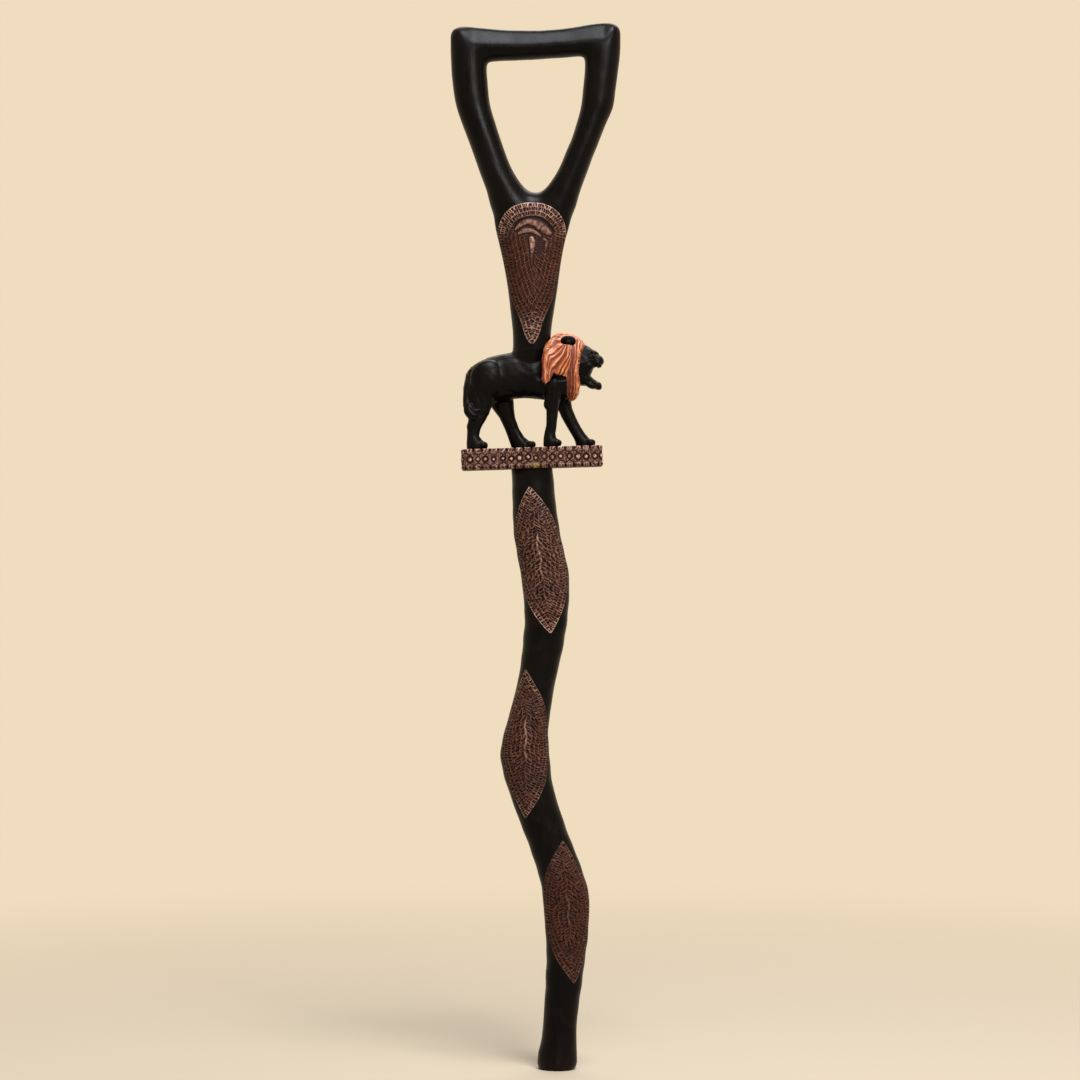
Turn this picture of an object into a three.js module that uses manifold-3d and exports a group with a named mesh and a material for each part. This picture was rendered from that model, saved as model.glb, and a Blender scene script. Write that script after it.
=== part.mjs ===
// Carved walking stick: a looped handle, a lion on a beaded plinth and a serpentine shaft.
// Millimetres. +Z runs up the stick and +X towards the lion's head.
// The origin is the centre of the flat end of the tip.

import * as THREE from 'three';
import { mergeVertices } from 'three/addons/utils/BufferGeometryUtils.js';
import Module from 'manifold-3d';

const wasm = await Module();
wasm.setup();

// Driving dimensions
const GLUE_GAP = 0.3;
const STICK_LENGTH = 914.4;
const NECK_TOP_HEIGHT = 750;
const NECK_JOINT_HEIGHT = 629;
const DOWEL_DIAMETER = 12;
const DOWEL_X = -22;
const NECK_DOWEL_IN_NECK = 30;
const NECK_DOWEL_IN_LION = 24;
const SHAFT_DOWEL_IN_PLINTH = 13;
const SHAFT_DOWEL_IN_SHAFT = 40;
const PLINTH_LENGTH = 124;
const PLINTH_DEPTH = 46;
const PLINTH_THICKNESS = 18;
const PLINTH_CORNER = 4;
const PLINTH_CENTRE = new THREE.Vector3(DOWEL_X, 0, 534);
const PLINTH_TILT = THREE.MathUtils.degToRad(-1.8);
const PEG_DIAMETER = 4.5;
const PEG_IN_PLINTH = 9;
const PEG_IN_LEG = 11;
const GRIP_DEPTH = 28;
const FORK_DEPTH = 31.5;

// Wood finishes
const wood = (color, roughness) => new THREE.MeshStandardMaterial({ color, roughness, metalness: 0 });
const stainedBlack = () => wood(0x1b1719, 0.36);
const cutBrown = () => wood(0x4f302c, 0.62);
const maneOrange = () => wood(0xb9623a, 0.45);
const rawHardwood = () => wood(0xb58d5f, 0.7);

// Sections: an oval lying level, standing across X, or spanning from one edge point to another
const turn = (step, sides) => (step / sides) * Math.PI * 2;

// A fullness of 1 is an ellipse, and a smaller one swells it towards a rounded oblong
const swollen = (value, fullness) => Math.sign(value) * Math.abs(value) ** fullness;

const oval = (centre, across, along, sides, fullness = 1) => Array.from({ length: sides }, (_, step) => (
  centre.clone()
    .addScaledVector(across, swollen(Math.cos(turn(step, sides)), fullness))
    .addScaledVector(along, swollen(Math.sin(turn(step, sides)), fullness))
));

const levelOval = (z, left, right, y, halfDepth, sides, fullness = 1) => oval(
  new THREE.Vector3((left + right) / 2, y, z),
  new THREE.Vector3((right - left) / 2, 0, 0),
  new THREE.Vector3(0, halfDepth, 0),
  sides,
  fullness,
);

const uprightOval = (x, low, high, y, halfDepth, sides) => oval(
  new THREE.Vector3(x, y, (low + high) / 2),
  new THREE.Vector3(0, halfDepth, 0),
  new THREE.Vector3(0, 0, (high - low) / 2),
  sides,
);

const edgeOval = (outerX, outerZ, innerX, innerZ, halfDepth, sides) => oval(
  new THREE.Vector3((outerX + innerX) / 2, 0, (outerZ + innerZ) / 2),
  new THREE.Vector3((outerX - innerX) / 2, 0, (outerZ - innerZ) / 2),
  new THREE.Vector3(0, halfDepth, 0),
  sides,
);

// Smooth rows between the given ones; the first number of a row is its place along the piece
const smoothRows = (rows, perSpan) => {
  const places = rows.map((row) => row[0]);
  const curve = new THREE.CubicInterpolant(places, rows.flat(), rows[0].length);
  const filled = [];
  for (let span = 0; span < rows.length - 1; span += 1) {
    for (let step = 0; step < perSpan; step += 1) {
      const place = THREE.MathUtils.lerp(places[span], places[span + 1], step / perSpan);
      filled.push([...curve.evaluate(place)]);
    }
  }
  filled.push([...rows.at(-1)]);
  return filled;
};

// A skin stretched over a run of sections, with flat ends or closed into a loop
const signedVolume = (points, faces) => {
  let volume = 0;
  for (let corner = 0; corner < faces.length; corner += 3) {
    const [a, b, c] = [points[faces[corner]], points[faces[corner + 1]], points[faces[corner + 2]]];
    volume += a.dot(b.clone().cross(c)) / 6;
  }
  return volume;
};

const middleOf = (ring) => ring
  .reduce((sum, point) => sum.add(point), new THREE.Vector3())
  .divideScalar(ring.length);

const skin = (rings, isLoop = false) => {
  const sides = rings[0].length;
  const points = rings.flat();
  const faces = [];
  const spans = isLoop ? rings.length : rings.length - 1;
  for (let span = 0; span < spans; span += 1) {
    const next = ((span + 1) % rings.length) * sides;
    for (let side = 0; side < sides; side += 1) {
      const beside = (side + 1) % sides;
      const corner = span * sides + side;
      const across = span * sides + beside;
      faces.push(corner, across, next + beside, corner, next + beside, next + side);
    }
  }
  if (!isLoop) {
    const last = (rings.length - 1) * sides;
    const lowMiddle = points.push(middleOf(rings[0])) - 1;
    const highMiddle = points.push(middleOf(rings.at(-1))) - 1;
    for (let side = 0; side < sides; side += 1) {
      const beside = (side + 1) % sides;
      faces.push(lowMiddle, beside, side);
      faces.push(highMiddle, last + side, last + beside);
    }
  }
  const facesOut = signedVolume(points, faces) > 0 ? faces : faces.toReversed();
  const geometry = new THREE.BufferGeometry().setFromPoints(points);
  geometry.setIndex(facesOut);
  return geometry;
};

// Joining and cutting solids
const solid = (geometry) => {
  const bare = geometry.clone();
  bare.deleteAttribute('normal');
  bare.deleteAttribute('uv');
  const merged = mergeVertices(bare, 1e-4);
  return new wasm.Manifold(new wasm.Mesh({
    numProp: 3,
    vertProperties: new Float32Array(merged.attributes.position.array),
    triVerts: new Uint32Array(merged.index.array),
  }));
};

const joined = (...geometries) => geometries
  .map(solid)
  .reduce((whole, piece) => whole.add(piece));

const cutBy = (whole, ...geometries) => geometries
  .map(solid)
  .reduce((left, tool) => left.subtract(tool), whole);

const shapeOf = (whole) => {
  const mesh = whole.getMesh();
  const geometry = new THREE.BufferGeometry();
  geometry.setAttribute('position', new THREE.BufferAttribute(mesh.vertProperties, 3));
  geometry.setIndex(new THREE.BufferAttribute(mesh.triVerts, 1));
  geometry.computeVertexNormals();
  return geometry;
};

// Round rod standing on Z between two heights, for a dowel, a peg or its bore
const rod = (x, y, low, high, diameter, sides) => {
  const geometry = new THREE.CylinderGeometry(diameter / 2, diameter / 2, high - low, sides);
  geometry.rotateX(Math.PI / 2);
  geometry.translate(x, y, (low + high) / 2);
  return geometry;
};

// The plinth's own frame: its centre, leaning with the plinth
const plinthPlace = new THREE.Matrix4()
  .makeRotationY(PLINTH_TILT)
  .setPosition(PLINTH_CENTRE);

const onPlinth = (geometry) => geometry.clone().applyMatrix4(plinthPlace);

const halfPlinth = PLINTH_THICKNESS / 2;

// Everything between the face that the shaft meets and the face that the paws meet
const plinthSlot = onPlinth(new THREE.BoxGeometry(
  PLINTH_LENGTH * 1.5,
  PLINTH_DEPTH * 1.5,
  PLINTH_THICKNESS + 2 * GLUE_GAP,
));

// Dowels and pegs, each also as its bore when it is given the glue gap
const neckDowel = (gap) => rod(
  DOWEL_X,
  0,
  NECK_JOINT_HEIGHT - NECK_DOWEL_IN_LION - gap,
  NECK_JOINT_HEIGHT + NECK_DOWEL_IN_NECK + gap,
  DOWEL_DIAMETER + 2 * gap,
  24,
);

const shaftDowel = (gap) => onPlinth(rod(
  0,
  0,
  -halfPlinth - SHAFT_DOWEL_IN_SHAFT - gap,
  -halfPlinth + SHAFT_DOWEL_IN_PLINTH + gap,
  DOWEL_DIAMETER + 2 * gap,
  24,
));

const NEAR_SIDE = -10.5;
const FAR_SIDE = 10.5;
const pegPlaces = {
  paw_peg_hind_near: { fromCentre: -51, y: NEAR_SIDE },
  paw_peg_hind_far: { fromCentre: -13.5, y: FAR_SIDE },
  paw_peg_front_near: { fromCentre: 15.5, y: NEAR_SIDE },
  paw_peg_front_far: { fromCentre: 44, y: FAR_SIDE },
};

const pawPeg = ({ fromCentre, y }, gap) => onPlinth(rod(
  fromCentre,
  y,
  halfPlinth - PEG_IN_PLINTH - gap,
  halfPlinth + PEG_IN_LEG + gap,
  PEG_DIAMETER + 2 * gap,
  16,
));

const pegBores = Object.values(pegPlaces).map((place) => pawPeg(place, GLUE_GAP));

// Shaft: level sections up the serpentine, each [height, centre x, width, depth]
const shaftRows = [
  [0, 0, 31, 29],
  [2, 0, 33, 31],
  [22, 1.3, 31.5, 30],
  [45, 3, 29.6, 29.5],
  [77, 6.1, 32.2, 31],
  [105, 8.1, 35, 32.5],
  [140, 8.3, 40.2, 34.5],
  [158, 6.6, 40.2, 34.5],
  [186, -2, 38.8, 34],
  [217, -13.6, 38.5, 34],
  [245, -23, 40.2, 35],
  [273, -28, 42.9, 36],
  [295, -26.8, 38.6, 35],
  [330, -19.6, 33.3, 33],
  [365, -13, 35, 33],
  [400, -9.3, 38.4, 34.5],
  [432, -10.8, 42, 36],
  [466, -17.2, 40.7, 36],
  [500, -20.4, 37.4, 35],
  [532, -22.2, 35.9, 34.5],
];

const shaftSections = smoothRows(shaftRows, 2).map(([z, x, width, depth]) => (
  levelOval(z, x - width / 2, x + width / 2, 0, depth / 2, 24)
));

const shaft = shapeOf(cutBy(
  solid(skin(shaftSections)),
  plinthSlot,
  shaftDowel(GLUE_GAP),
));

// Handle: the loop's sections go round it once, each [outer x, outer z, inner x, inner z]
const loopEdges = [
  [-20, 907.8, -19, 883.1],
  [-4, 908.5, -4, 884.1],
  [14, 910.6, 12, 885.2],
  [31, 913.4, 20.5, 885.9],
  [44.5, STICK_LENGTH, 23.2, 885.4],
  [52, 911.4, 24.3, 883.6],
  [55.1, 903, 24.6, 880.8],
  [55, 888, 24.6, 876],
  [53.2, 872, 24.1, 868],
  [51, 856, 22.8, 856],
  [48.9, 841, 21.2, 842],
  [43.5, 828.5, 18.2, 829.5],
  [35, 807.5, 13, 813.5],
  [30, 794.5, 8.3, 802.5],
  [25, 781, 3, 789.5],
  [20.2, 768, -3.7, 777.8],
  [11.6, 742, -9.5, 770.5],
  [-5, 724, -14, 767],
  [-20, 717, -18.6, 766],
  [-36, 724, -24, 767.2],
  [-53.8, 742, -29, 771],
  [-61.3, 768, -34.6, 778.2],
  [-66.5, 781.5, -40.8, 789],
  [-72, 797, -46, 802.5],
  [-77, 811, -50.2, 815],
  [-83, 827, -54.8, 829.5],
  [-88, 842, -58.6, 842],
  [-90.6, 856, -60.3, 856],
  [-92.2, 872, -61.3, 867],
  [-92.8, 888, -61.7, 874],
  [-92.8, 900, -61.5, 878],
  [-90, 908.4, -60.6, 880],
  [-82, 911.4, -58.5, 881],
  [-70, 910.3, -54, 881.3],
  [-53, 908.8, -46, 881.9],
  [-37, 908, -33, 882.4],
];

const loopDepthAt = (z) => (
  THREE.MathUtils.mapLinear(z, STICK_LENGTH, NECK_TOP_HEIGHT, GRIP_DEPTH, FORK_DEPTH)
);

// Each edge runs round the loop as one closed curve through its places
const loopEdge = (columnX, columnZ) => new THREE.CatmullRomCurve3(
  loopEdges.map((row) => new THREE.Vector3(row[columnX], 0, row[columnZ])),
  true,
);

const outerEdge = loopEdge(0, 1);
const innerEdge = loopEdge(2, 3);
const LOOP_SECTIONS = 2 * loopEdges.length;

const loopSections = Array.from({ length: LOOP_SECTIONS }, (_, place) => {
  const outer = outerEdge.getPoint(place / LOOP_SECTIONS);
  const inner = innerEdge.getPoint(place / LOOP_SECTIONS);
  const halfDepth = loopDepthAt((outer.z + inner.z) / 2) / 2;
  return edgeOval(outer.x, outer.z, inner.x, inner.z, halfDepth, 20);
});

// Neck under the loop: level sections, each [height, left, right, half depth]
const neckRows = [
  [NECK_JOINT_HEIGHT, -38.3, -5.7, 16.6],
  [645, -38.7, -5.2, 16.6],
  [660, -40.4, -3.1, 16.4],
  [682, -43, 0.4, 16],
  [706, -47.2, 3.6, 15.8],
  [726, -51.8, 7.6, 15.4],
  [742, -55, 12, 15],
  [750, -54.6, 12.6, 13.4],
  [756, -49, 8, 10.4],
  [760, -40, 1, 6],
];

const neck = (grow) => skin(smoothRows(neckRows, 2).map(([z, left, right, halfDepth]) => (
  levelOval(z, left - grow, right + grow, 0, halfDepth + grow, 24)
)));

const handle = shapeOf(cutBy(
  joined(skin(loopSections, true), neck(0)),
  neckDowel(GLUE_GAP),
));

// Lion: the body's upright sections from rump to chest, each [x, low, high, half depth]
const bodyRows = [
  [-80, 596, 607, 6],
  [-77, 588, 611.5, 10.5],
  [-68, 581, 618.8, 15],
  [-52, 582, 624, 17],
  [-37, 585.6, 626.6, 16.6],
  [-22, 586, 627.6, 16.4],
  [-8, 584, 628.6, 17.4],
  [4, 582.8, 631, 17.8],
  [14, 589, 634, 15.4],
  [20, 598, 635, 12],
];

const headRows = [
  [8, 600, 636, 11],
  [18, 598, 636.2, 12.4],
  [24.5, 599.5, 633.4, 12],
  [28.6, 605, 631.2, 10.8],
  [31.4, 610.8, 628.8, 9.4],
  [34, 613.6, 625.3, 8],
  [37.4, 614.8, 624.7, 7.2],
  [40.4, 616.2, 623.4, 5.6],
  [41.8, 618.2, 621.6, 3],
];

const jawRows = [
  [18, 597.4, 612, 9.6],
  [25, 597, 610.5, 9],
  [29, 596.2, 606.4, 7.6],
  [33, 594.4, 602.6, 6.4],
  [36.6, 593.5, 600.2, 5.4],
  [38.6, 594.3, 599, 4],
  [39.3, 595.8, 597.8, 2],
];

// The stump on the back that the handle's neck stands on
const stumpRows = [
  [604, -36, -6, 11],
  [614, -39, -4.5, 14],
  [622, -40.4, -4.2, 16],
  [NECK_JOINT_HEIGHT - GLUE_GAP, -38.3, -5.7, 16.6],
];

// Legs: level sections from the sole up, each [height, left, right, y, half depth]
const legs = {
  hindNear: [
    [537, -78.6, -61, NEAR_SIDE, 6.3],
    [543, -79, -60.3, NEAR_SIDE, 6.4],
    [546.5, -79.2, -61, NEAR_SIDE, 6.1],
    [549.5, -79, -65, -10.3, 5.5],
    [553, -78.7, -67.8, -10.2, 5],
    [559, -78.4, -66.6, -10, 5],
    [568, -77.6, -61.5, -9.8, 5.7],
    [578, -78, -57, -9.5, 6.9],
    [590, -79, -53.5, -9, 8],
    [601, -77, -52, -8, 8.2],
    [609, -71, -57, -7, 5.6],
  ],
  hindFar: [
    [538, -39.5, -20, FAR_SIDE, 6.2],
    [543.5, -40.2, -18.6, FAR_SIDE, 6.3],
    [547, -41.3, -20, FAR_SIDE, 6],
    [549.5, -42.2, -24, 10.4, 5.5],
    [553, -43.3, -28.6, 10.2, 5.1],
    [560, -46, -33, 10, 5],
    [569.5, -50.5, -36.4, 9.8, 5.8],
    [578, -57, -37.6, 9.5, 6.9],
    [590, -63, -38, 9, 7.8],
    [601, -66, -42, 8, 8],
    [609, -61, -47, 7, 5.6],
  ],
  frontNear: [
    [539, -11.5, 3, -10.8, 6.2],
    [544, -12, 3.6, -10.8, 6.3],
    [548.6, -12.1, 3.2, -10.8, 6.1],
    [551.6, -12, -0.6, -10.6, 5.3],
    [555, -11.4, -1.4, NEAR_SIDE, 5],
    [562, -9.8, -0.4, -10.4, 4.8],
    [574, -9.4, 1, -10.6, 5.3],
    [586, -11.2, 2.6, -11.2, 6.2],
    [596, -11.6, 4.2, -11.8, 6.8],
    [603, -8.6, 4.2, -12.2, 6.4],
    [607.5, -4.4, 1.6, -12, 4.4],
  ],
  frontFar: [
    [541, 17.3, 32, FAR_SIDE, 6.2],
    [545.6, 16.4, 33.8, 10.8, 6.3],
    [549, 15.6, 31.4, 10.8, 6],
    [552, 14.2, 28, 10.6, 5.5],
    [556, 11.8, 24.6, FAR_SIDE, 5.1],
    [562, 8.2, 20.8, 10.4, 5],
    [570, 3.8, 16.8, 10.6, 5.5],
    [578, 0.6, 13.6, 11.2, 6.2],
    [588, -4, 12, 12, 7.2],
    [598, -6.5, 9, 12.4, 7.2],
    [606.5, -4, 5, 12, 4.6],
  ],
};

// Tail: from the tuft on the near haunch up to the rump, in the same columns as a leg
const tailRows = [
  [566.4, -74.2, -71, -15.6, 1.2],
  [568.6, -77.4, -69.6, -15.6, 2.6],
  [573, -80.3, -71.4, -14.6, 3.4],
  [579, -82, -75, -12, 3.6],
  [586, -82.3, -77, -8.5, 3],
  [596, -82, -77, -4.5, 2.6],
  [604, -80.4, -75, -2, 2.7],
  [610, -78, -71, 0, 3],
  [614, -75.4, -68, 0, 2.6],
];

// Ears: sections from the skull outwards, each [distance from the middle, z, half length, half height]
const EAR_X = 9.6;
const earRows = [
  [5, 627, 5, 6],
  [11, 632.4, 6, 5.2],
  [15.4, 636, 6.8, 4.3],
  [18, 636.6, 5.6, 3.2],
  [19.2, 636.8, 2.4, 1.4],
];

const ear = (side, grow) => skin(smoothRows(earRows, 2).map(([out, z, halfLength, halfHeight]) => oval(
  new THREE.Vector3(EAR_X, side * out, z),
  new THREE.Vector3(halfLength + grow, 0, 0),
  new THREE.Vector3(0, 0, halfHeight + grow),
  12,
)));

const levelSkin = (rows, sides, grow = 0, fullness = 1) => skin(
  rows.map(([z, left, right, y, halfDepth]) => (
    levelOval(z, left - grow, right + grow, y, halfDepth + grow, sides, fullness)
  )),
);

const uprightSkin = (rows, sides, grow) => skin(smoothRows(rows, 2).map(([x, low, high, halfDepth]) => (
  uprightOval(x, low - grow, high + grow, 0, halfDepth + grow, sides)
)));

const lionBlock = (grow) => joined(
  uprightSkin(bodyRows, 22, grow),
  uprightSkin(headRows, 16, grow),
  uprightSkin(jawRows, 12, grow),
  levelSkin(stumpRows.map(([z, left, right, halfDepth]) => [z, left, right, 0, halfDepth]), 24, grow),
  ...Object.values(legs).map((rows) => levelSkin(rows, 14, grow)),
  levelSkin(tailRows, 10, grow),
  ear(-1, grow),
  ear(1, grow),
);

const lion = shapeOf(cutBy(
  lionBlock(0),
  plinthSlot,
  neckDowel(GLUE_GAP),
  ...pegBores,
));

// Mane: a collar of level sections, then its front lock and the two tresses along its rear edge,
// each [height, left, right, y, half depth]
const MANE_FULLNESS = 0.55;

const collarRows = [
  [604.4, -2, 19.4, 0, 17.6],
  [608, -12.2, 20, 0, 20.4],
  [612, -12.4, 20.2, 0, 21],
  [619, -12.4, 20.8, 0, 21],
  [626, -12, 22.4, 0, 20.2],
  [632, -10, 24.2, 0, 18.2],
  [637.4, -7.4, 22.4, 0, 14.6],
  [641, -3.6, 16, 0, 9.6],
  [643, 0, 9, 0, 4.6],
];

const frontLockRows = [
  [583.6, 10.2, 14.4, 0, 3],
  [586, 7.8, 17, 0, 8],
  [590, 6, 19, 0, 13],
  [596, 5.4, 20.1, 0, 16.6],
  [606, 4.4, 20.1, 0, 19],
];

const cheekTress = (side) => [
  [599.6, -11.6, -9.6, side * 18.4, 1.2],
  [602.4, -12.4, -7.6, side * 18.2, 2.2],
  [606, -12.4, -4.4, side * 18, 2.8],
  [610.4, -12.4, 0, side * 17.8, 3],
  [616, -12.4, 0, side * 17.8, 3],
  [622, -12, 0, side * 17.4, 3],
  [628, -10, 0, side * 16.4, 2.4],
];

const mane = shapeOf(cutBy(
  joined(
    levelSkin(collarRows, 28, 0, MANE_FULLNESS),
    levelSkin(frontLockRows, 20, 0, MANE_FULLNESS),
    levelSkin(cheekTress(-1), 10),
    levelSkin(cheekTress(1), 10),
  ).subtract(lionBlock(GLUE_GAP)),
  neck(GLUE_GAP),
));

// Plinth: a block with rounded corners, bored below for the shaft and above for the pegs
const plinthOutline = () => {
  const halfLength = PLINTH_LENGTH / 2;
  const halfDepth = PLINTH_DEPTH / 2;
  const outline = new THREE.Shape();
  const quarter = Math.PI / 2;
  const corners = [
    [halfLength - PLINTH_CORNER, -halfDepth + PLINTH_CORNER],
    [halfLength - PLINTH_CORNER, halfDepth - PLINTH_CORNER],
    [-halfLength + PLINTH_CORNER, halfDepth - PLINTH_CORNER],
    [-halfLength + PLINTH_CORNER, -halfDepth + PLINTH_CORNER],
  ];
  corners.forEach(([x, y], corner) => {
    outline.absarc(x, y, PLINTH_CORNER, quarter * (corner - 1), quarter * corner, false);
  });
  return outline;
};

const plinthBlock = new THREE.ExtrudeGeometry(plinthOutline(), {
  depth: PLINTH_THICKNESS,
  bevelEnabled: false,
  curveSegments: 5,
});
plinthBlock.translate(0, 0, -halfPlinth);

const plinth = shapeOf(cutBy(
  solid(onPlinth(plinthBlock)),
  shaftDowel(GLUE_GAP),
  ...pegBores,
));

// The stick put together
const stick = new THREE.Group();

const place = (name, geometry, material) => {
  const mesh = new THREE.Mesh(geometry, material);
  mesh.name = name;
  stick.add(mesh);
};

place('handle', handle, stainedBlack());
place('neck_dowel', neckDowel(0), rawHardwood());
place('lion', lion, stainedBlack());
place('mane', mane, maneOrange());
place('plinth', plinth, cutBrown());
Object.entries(pegPlaces).forEach(([name, spot]) => {
  place(name, pawPeg(spot, 0), rawHardwood());
});
place('shaft_dowel', shaftDowel(0), rawHardwood());
place('shaft', shaft, stainedBlack());

export default stick;
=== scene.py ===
import math

import bmesh
import bpy
import numpy as np
from mathutils import Matrix, Vector
from mathutils.bvhtree import BVHTree


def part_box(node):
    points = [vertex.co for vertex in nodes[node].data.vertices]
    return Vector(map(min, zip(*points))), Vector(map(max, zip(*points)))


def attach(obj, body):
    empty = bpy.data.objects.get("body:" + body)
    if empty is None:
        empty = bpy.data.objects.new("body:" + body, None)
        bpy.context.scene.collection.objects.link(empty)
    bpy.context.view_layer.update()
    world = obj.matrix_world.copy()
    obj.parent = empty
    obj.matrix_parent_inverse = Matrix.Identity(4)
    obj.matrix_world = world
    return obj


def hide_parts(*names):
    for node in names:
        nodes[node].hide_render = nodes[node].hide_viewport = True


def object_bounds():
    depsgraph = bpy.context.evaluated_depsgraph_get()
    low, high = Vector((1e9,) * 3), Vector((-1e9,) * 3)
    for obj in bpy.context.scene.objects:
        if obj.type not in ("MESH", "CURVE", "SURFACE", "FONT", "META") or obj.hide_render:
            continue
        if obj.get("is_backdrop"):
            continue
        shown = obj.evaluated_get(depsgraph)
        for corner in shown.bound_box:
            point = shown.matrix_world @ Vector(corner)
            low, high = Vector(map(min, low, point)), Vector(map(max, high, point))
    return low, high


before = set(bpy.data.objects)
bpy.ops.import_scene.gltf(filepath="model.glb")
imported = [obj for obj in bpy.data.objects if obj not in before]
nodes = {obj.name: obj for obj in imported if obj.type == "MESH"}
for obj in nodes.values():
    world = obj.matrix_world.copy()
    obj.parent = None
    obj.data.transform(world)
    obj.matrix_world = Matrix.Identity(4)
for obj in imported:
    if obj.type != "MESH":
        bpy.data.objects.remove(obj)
cad_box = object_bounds()
scene = bpy.context.scene

# Black stain: rubbed into every plain surface of the stick, then waxed to a soft shine.
# The hardwood's grain and open pores still show in it, and brown wood comes through where hands wear it.
MM = 0.001  # one millimetre, in the scene's metres


def dye(red, green, blue):
    """A colour as seen, each part from 0 to 255, in the shader's own linear values."""
    seen = (value / 255 for value in (red, green, blue))
    linear = [part / 12.92 if part <= 0.04045 else ((part + 0.055) / 1.055) ** 2.4 for part in seen]
    return (*linear, 1)


def finish(name, roughness):
    """A new material with its tree and its shader."""
    material = bpy.data.materials.new(name)
    material.use_nodes = True
    shader = material.node_tree.nodes["Principled BSDF"]
    shader.inputs["Roughness"].default_value = roughness
    return material, material.node_tree, shader


def put(tree, kind, *places, settings=None, **named):
    """Adds a node and fills its sockets, with numbers or with other nodes' outputs."""
    node = tree.nodes.new("ShaderNode" + kind)
    for key, value in (settings or {}).items():
        setattr(node, key, value)
    filled = list(enumerate(places)) + [(key.replace("_", " "), value) for key, value in named.items()]
    for key, value in filled:
        if isinstance(value, bpy.types.NodeSocket):
            tree.links.new(value, node.inputs[key])
        else:
            node.inputs[key].default_value = value
    return node


def grained(tree, share):
    """The place on the stick in metres, shrunk along the grain, so that marks draw out along it."""
    place = put(tree, "TexCoord").outputs["Object"]
    return put(tree, "Mapping", place, Scale=(1, 1, share)).outputs[0]


def mottle(tree, place, scale, detail=4):
    return put(tree, "TexNoise", Vector=place, Scale=scale, Detail=detail, Roughness=0.55).outputs["Fac"]


def between(tree, value, low, high, to_low=0.0, to_high=1.0):
    """Takes the stretch from low to high to another stretch, and holds it there beyond."""
    return put(
        tree, "MapRange", value, low, high, to_low, to_high, settings={"interpolation_type": "SMOOTHSTEP"}
    ).outputs[0]


def blend(tree, amount, first, second):
    """Mixes two colours."""
    node = tree.nodes.new("ShaderNodeMix")
    node.data_type = "RGBA"
    for key, value in ((0, amount), (6, first), (7, second)):
        if isinstance(value, bpy.types.NodeSocket):
            tree.links.new(value, node.inputs[key])
        else:
            node.inputs[key].default_value = value
    return node.outputs[2]


def sum_of(tree, first, second, operation="ADD"):
    return put(tree, "Math", first, second, settings={"operation": operation}).outputs[0]


def carved_value(tree, name):
    """A number that the carving leaves on the surface, such as how deep a cut goes."""
    return put(tree, "Attribute", settings={"attribute_name": name}).outputs["Fac"]


def coat(tree, shader, colour, height, strength, distance):
    """Gives the shader its colour and its small dents, the dents in millimetres."""
    tree.links.new(colour, shader.inputs["Base Color"])
    dents = put(tree, "Bump", Strength=strength, Distance=distance * MM, Height=height)
    tree.links.new(dents.outputs[0], shader.inputs["Normal"])


def black_stain():
    material, tree, shader = finish("black_stained_hardwood", 0.36)
    grain = mottle(tree, grained(tree, 0.055), 700, detail=6)
    pores = between(tree, mottle(tree, grained(tree, 0.03), 2600, detail=2), 0.60, 0.70)
    cloud = mottle(tree, grained(tree, 0.5), 38, detail=5)
    soot = blend(tree, between(tree, grain, 0.35, 0.68), dye(2, 1, 1), dye(8, 5, 5))
    soot = blend(tree, between(tree, cloud, 0.42, 0.70, 0, 0.55), soot, dye(14, 9, 8))
    soot = blend(tree, between(tree, pores, 0, 1, 0, 0.75), soot, dye(2, 2, 2))
    rubbed = sum_of(tree, carved_value(tree, "wear_and_highlight"), between(tree, grain, 0.3, 0.7, 0.1, 1.0), "MULTIPLY")
    colour = blend(tree, rubbed, soot, dye(60, 40, 31))
    sheen = sum_of(tree, between(tree, cloud, 0.3, 0.7, 0.27, 0.36), between(tree, pores, 0, 1, 0, 0.20))
    tree.links.new(sheen, shader.inputs["Roughness"])
    height = sum_of(tree, between(tree, grain, 0.3, 0.7, 0, 0.6), pores, "SUBTRACT")
    coat(tree, shader, colour, height, 0.2, 0.25)
    shader.inputs["IOR"].default_value = 1.18
    return material


black = black_stain()

# Shaft: one length of hardwood, pared down its bends to an oval and sanded, with the tip sawn flat.
# It is glued up under the plinth on the dowel, and stands on its own tip.
SHAFT_ROW = 0.9 * MM
SHAFT_COLUMNS = 128
PARED = 0.13 * MM
SUNK = 1.5 * MM
LIP = 0.9 * MM
PLINTH_TILT = math.radians(1.8)
shade_seed = np.random.default_rng(7)


def read_out(items, what="co"):
    """A row of three numbers for each item of a mesh, such as each point's place."""
    flat = np.empty(len(items) * 3)
    items.foreach_get(what, flat)
    return flat.reshape(-1, 3)


def flowing(places, values, at):
    """A smooth curve through values at rising places, for each column of values."""
    slopes = np.gradient(values, places, axis=0)
    span = np.clip(np.searchsorted(places, at) - 1, 0, len(places) - 2)
    width = (places[span + 1] - places[span])[..., None]
    t = (at - places[span])[..., None] / width
    start, end = values[span], values[span + 1]
    return (
        start * (2 * t**3 - 3 * t**2 + 1)
        + slopes[span] * width * (t**3 - 2 * t**2 + t)
        + end * (3 * t**2 - 2 * t**3)
        + slopes[span + 1] * width * (t**3 - t**2)
    )


def eased(value, low, high):
    """0 below low, 1 above high, and a smooth rise between."""
    t = np.clip((value - low) / (high - low), 0, 1)
    return t * t * (3 - 2 * t)


def close_to(away, width):
    """1 where away is 0, and a smooth fall past the width."""
    return np.exp(-((away / width) ** 2))


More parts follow.
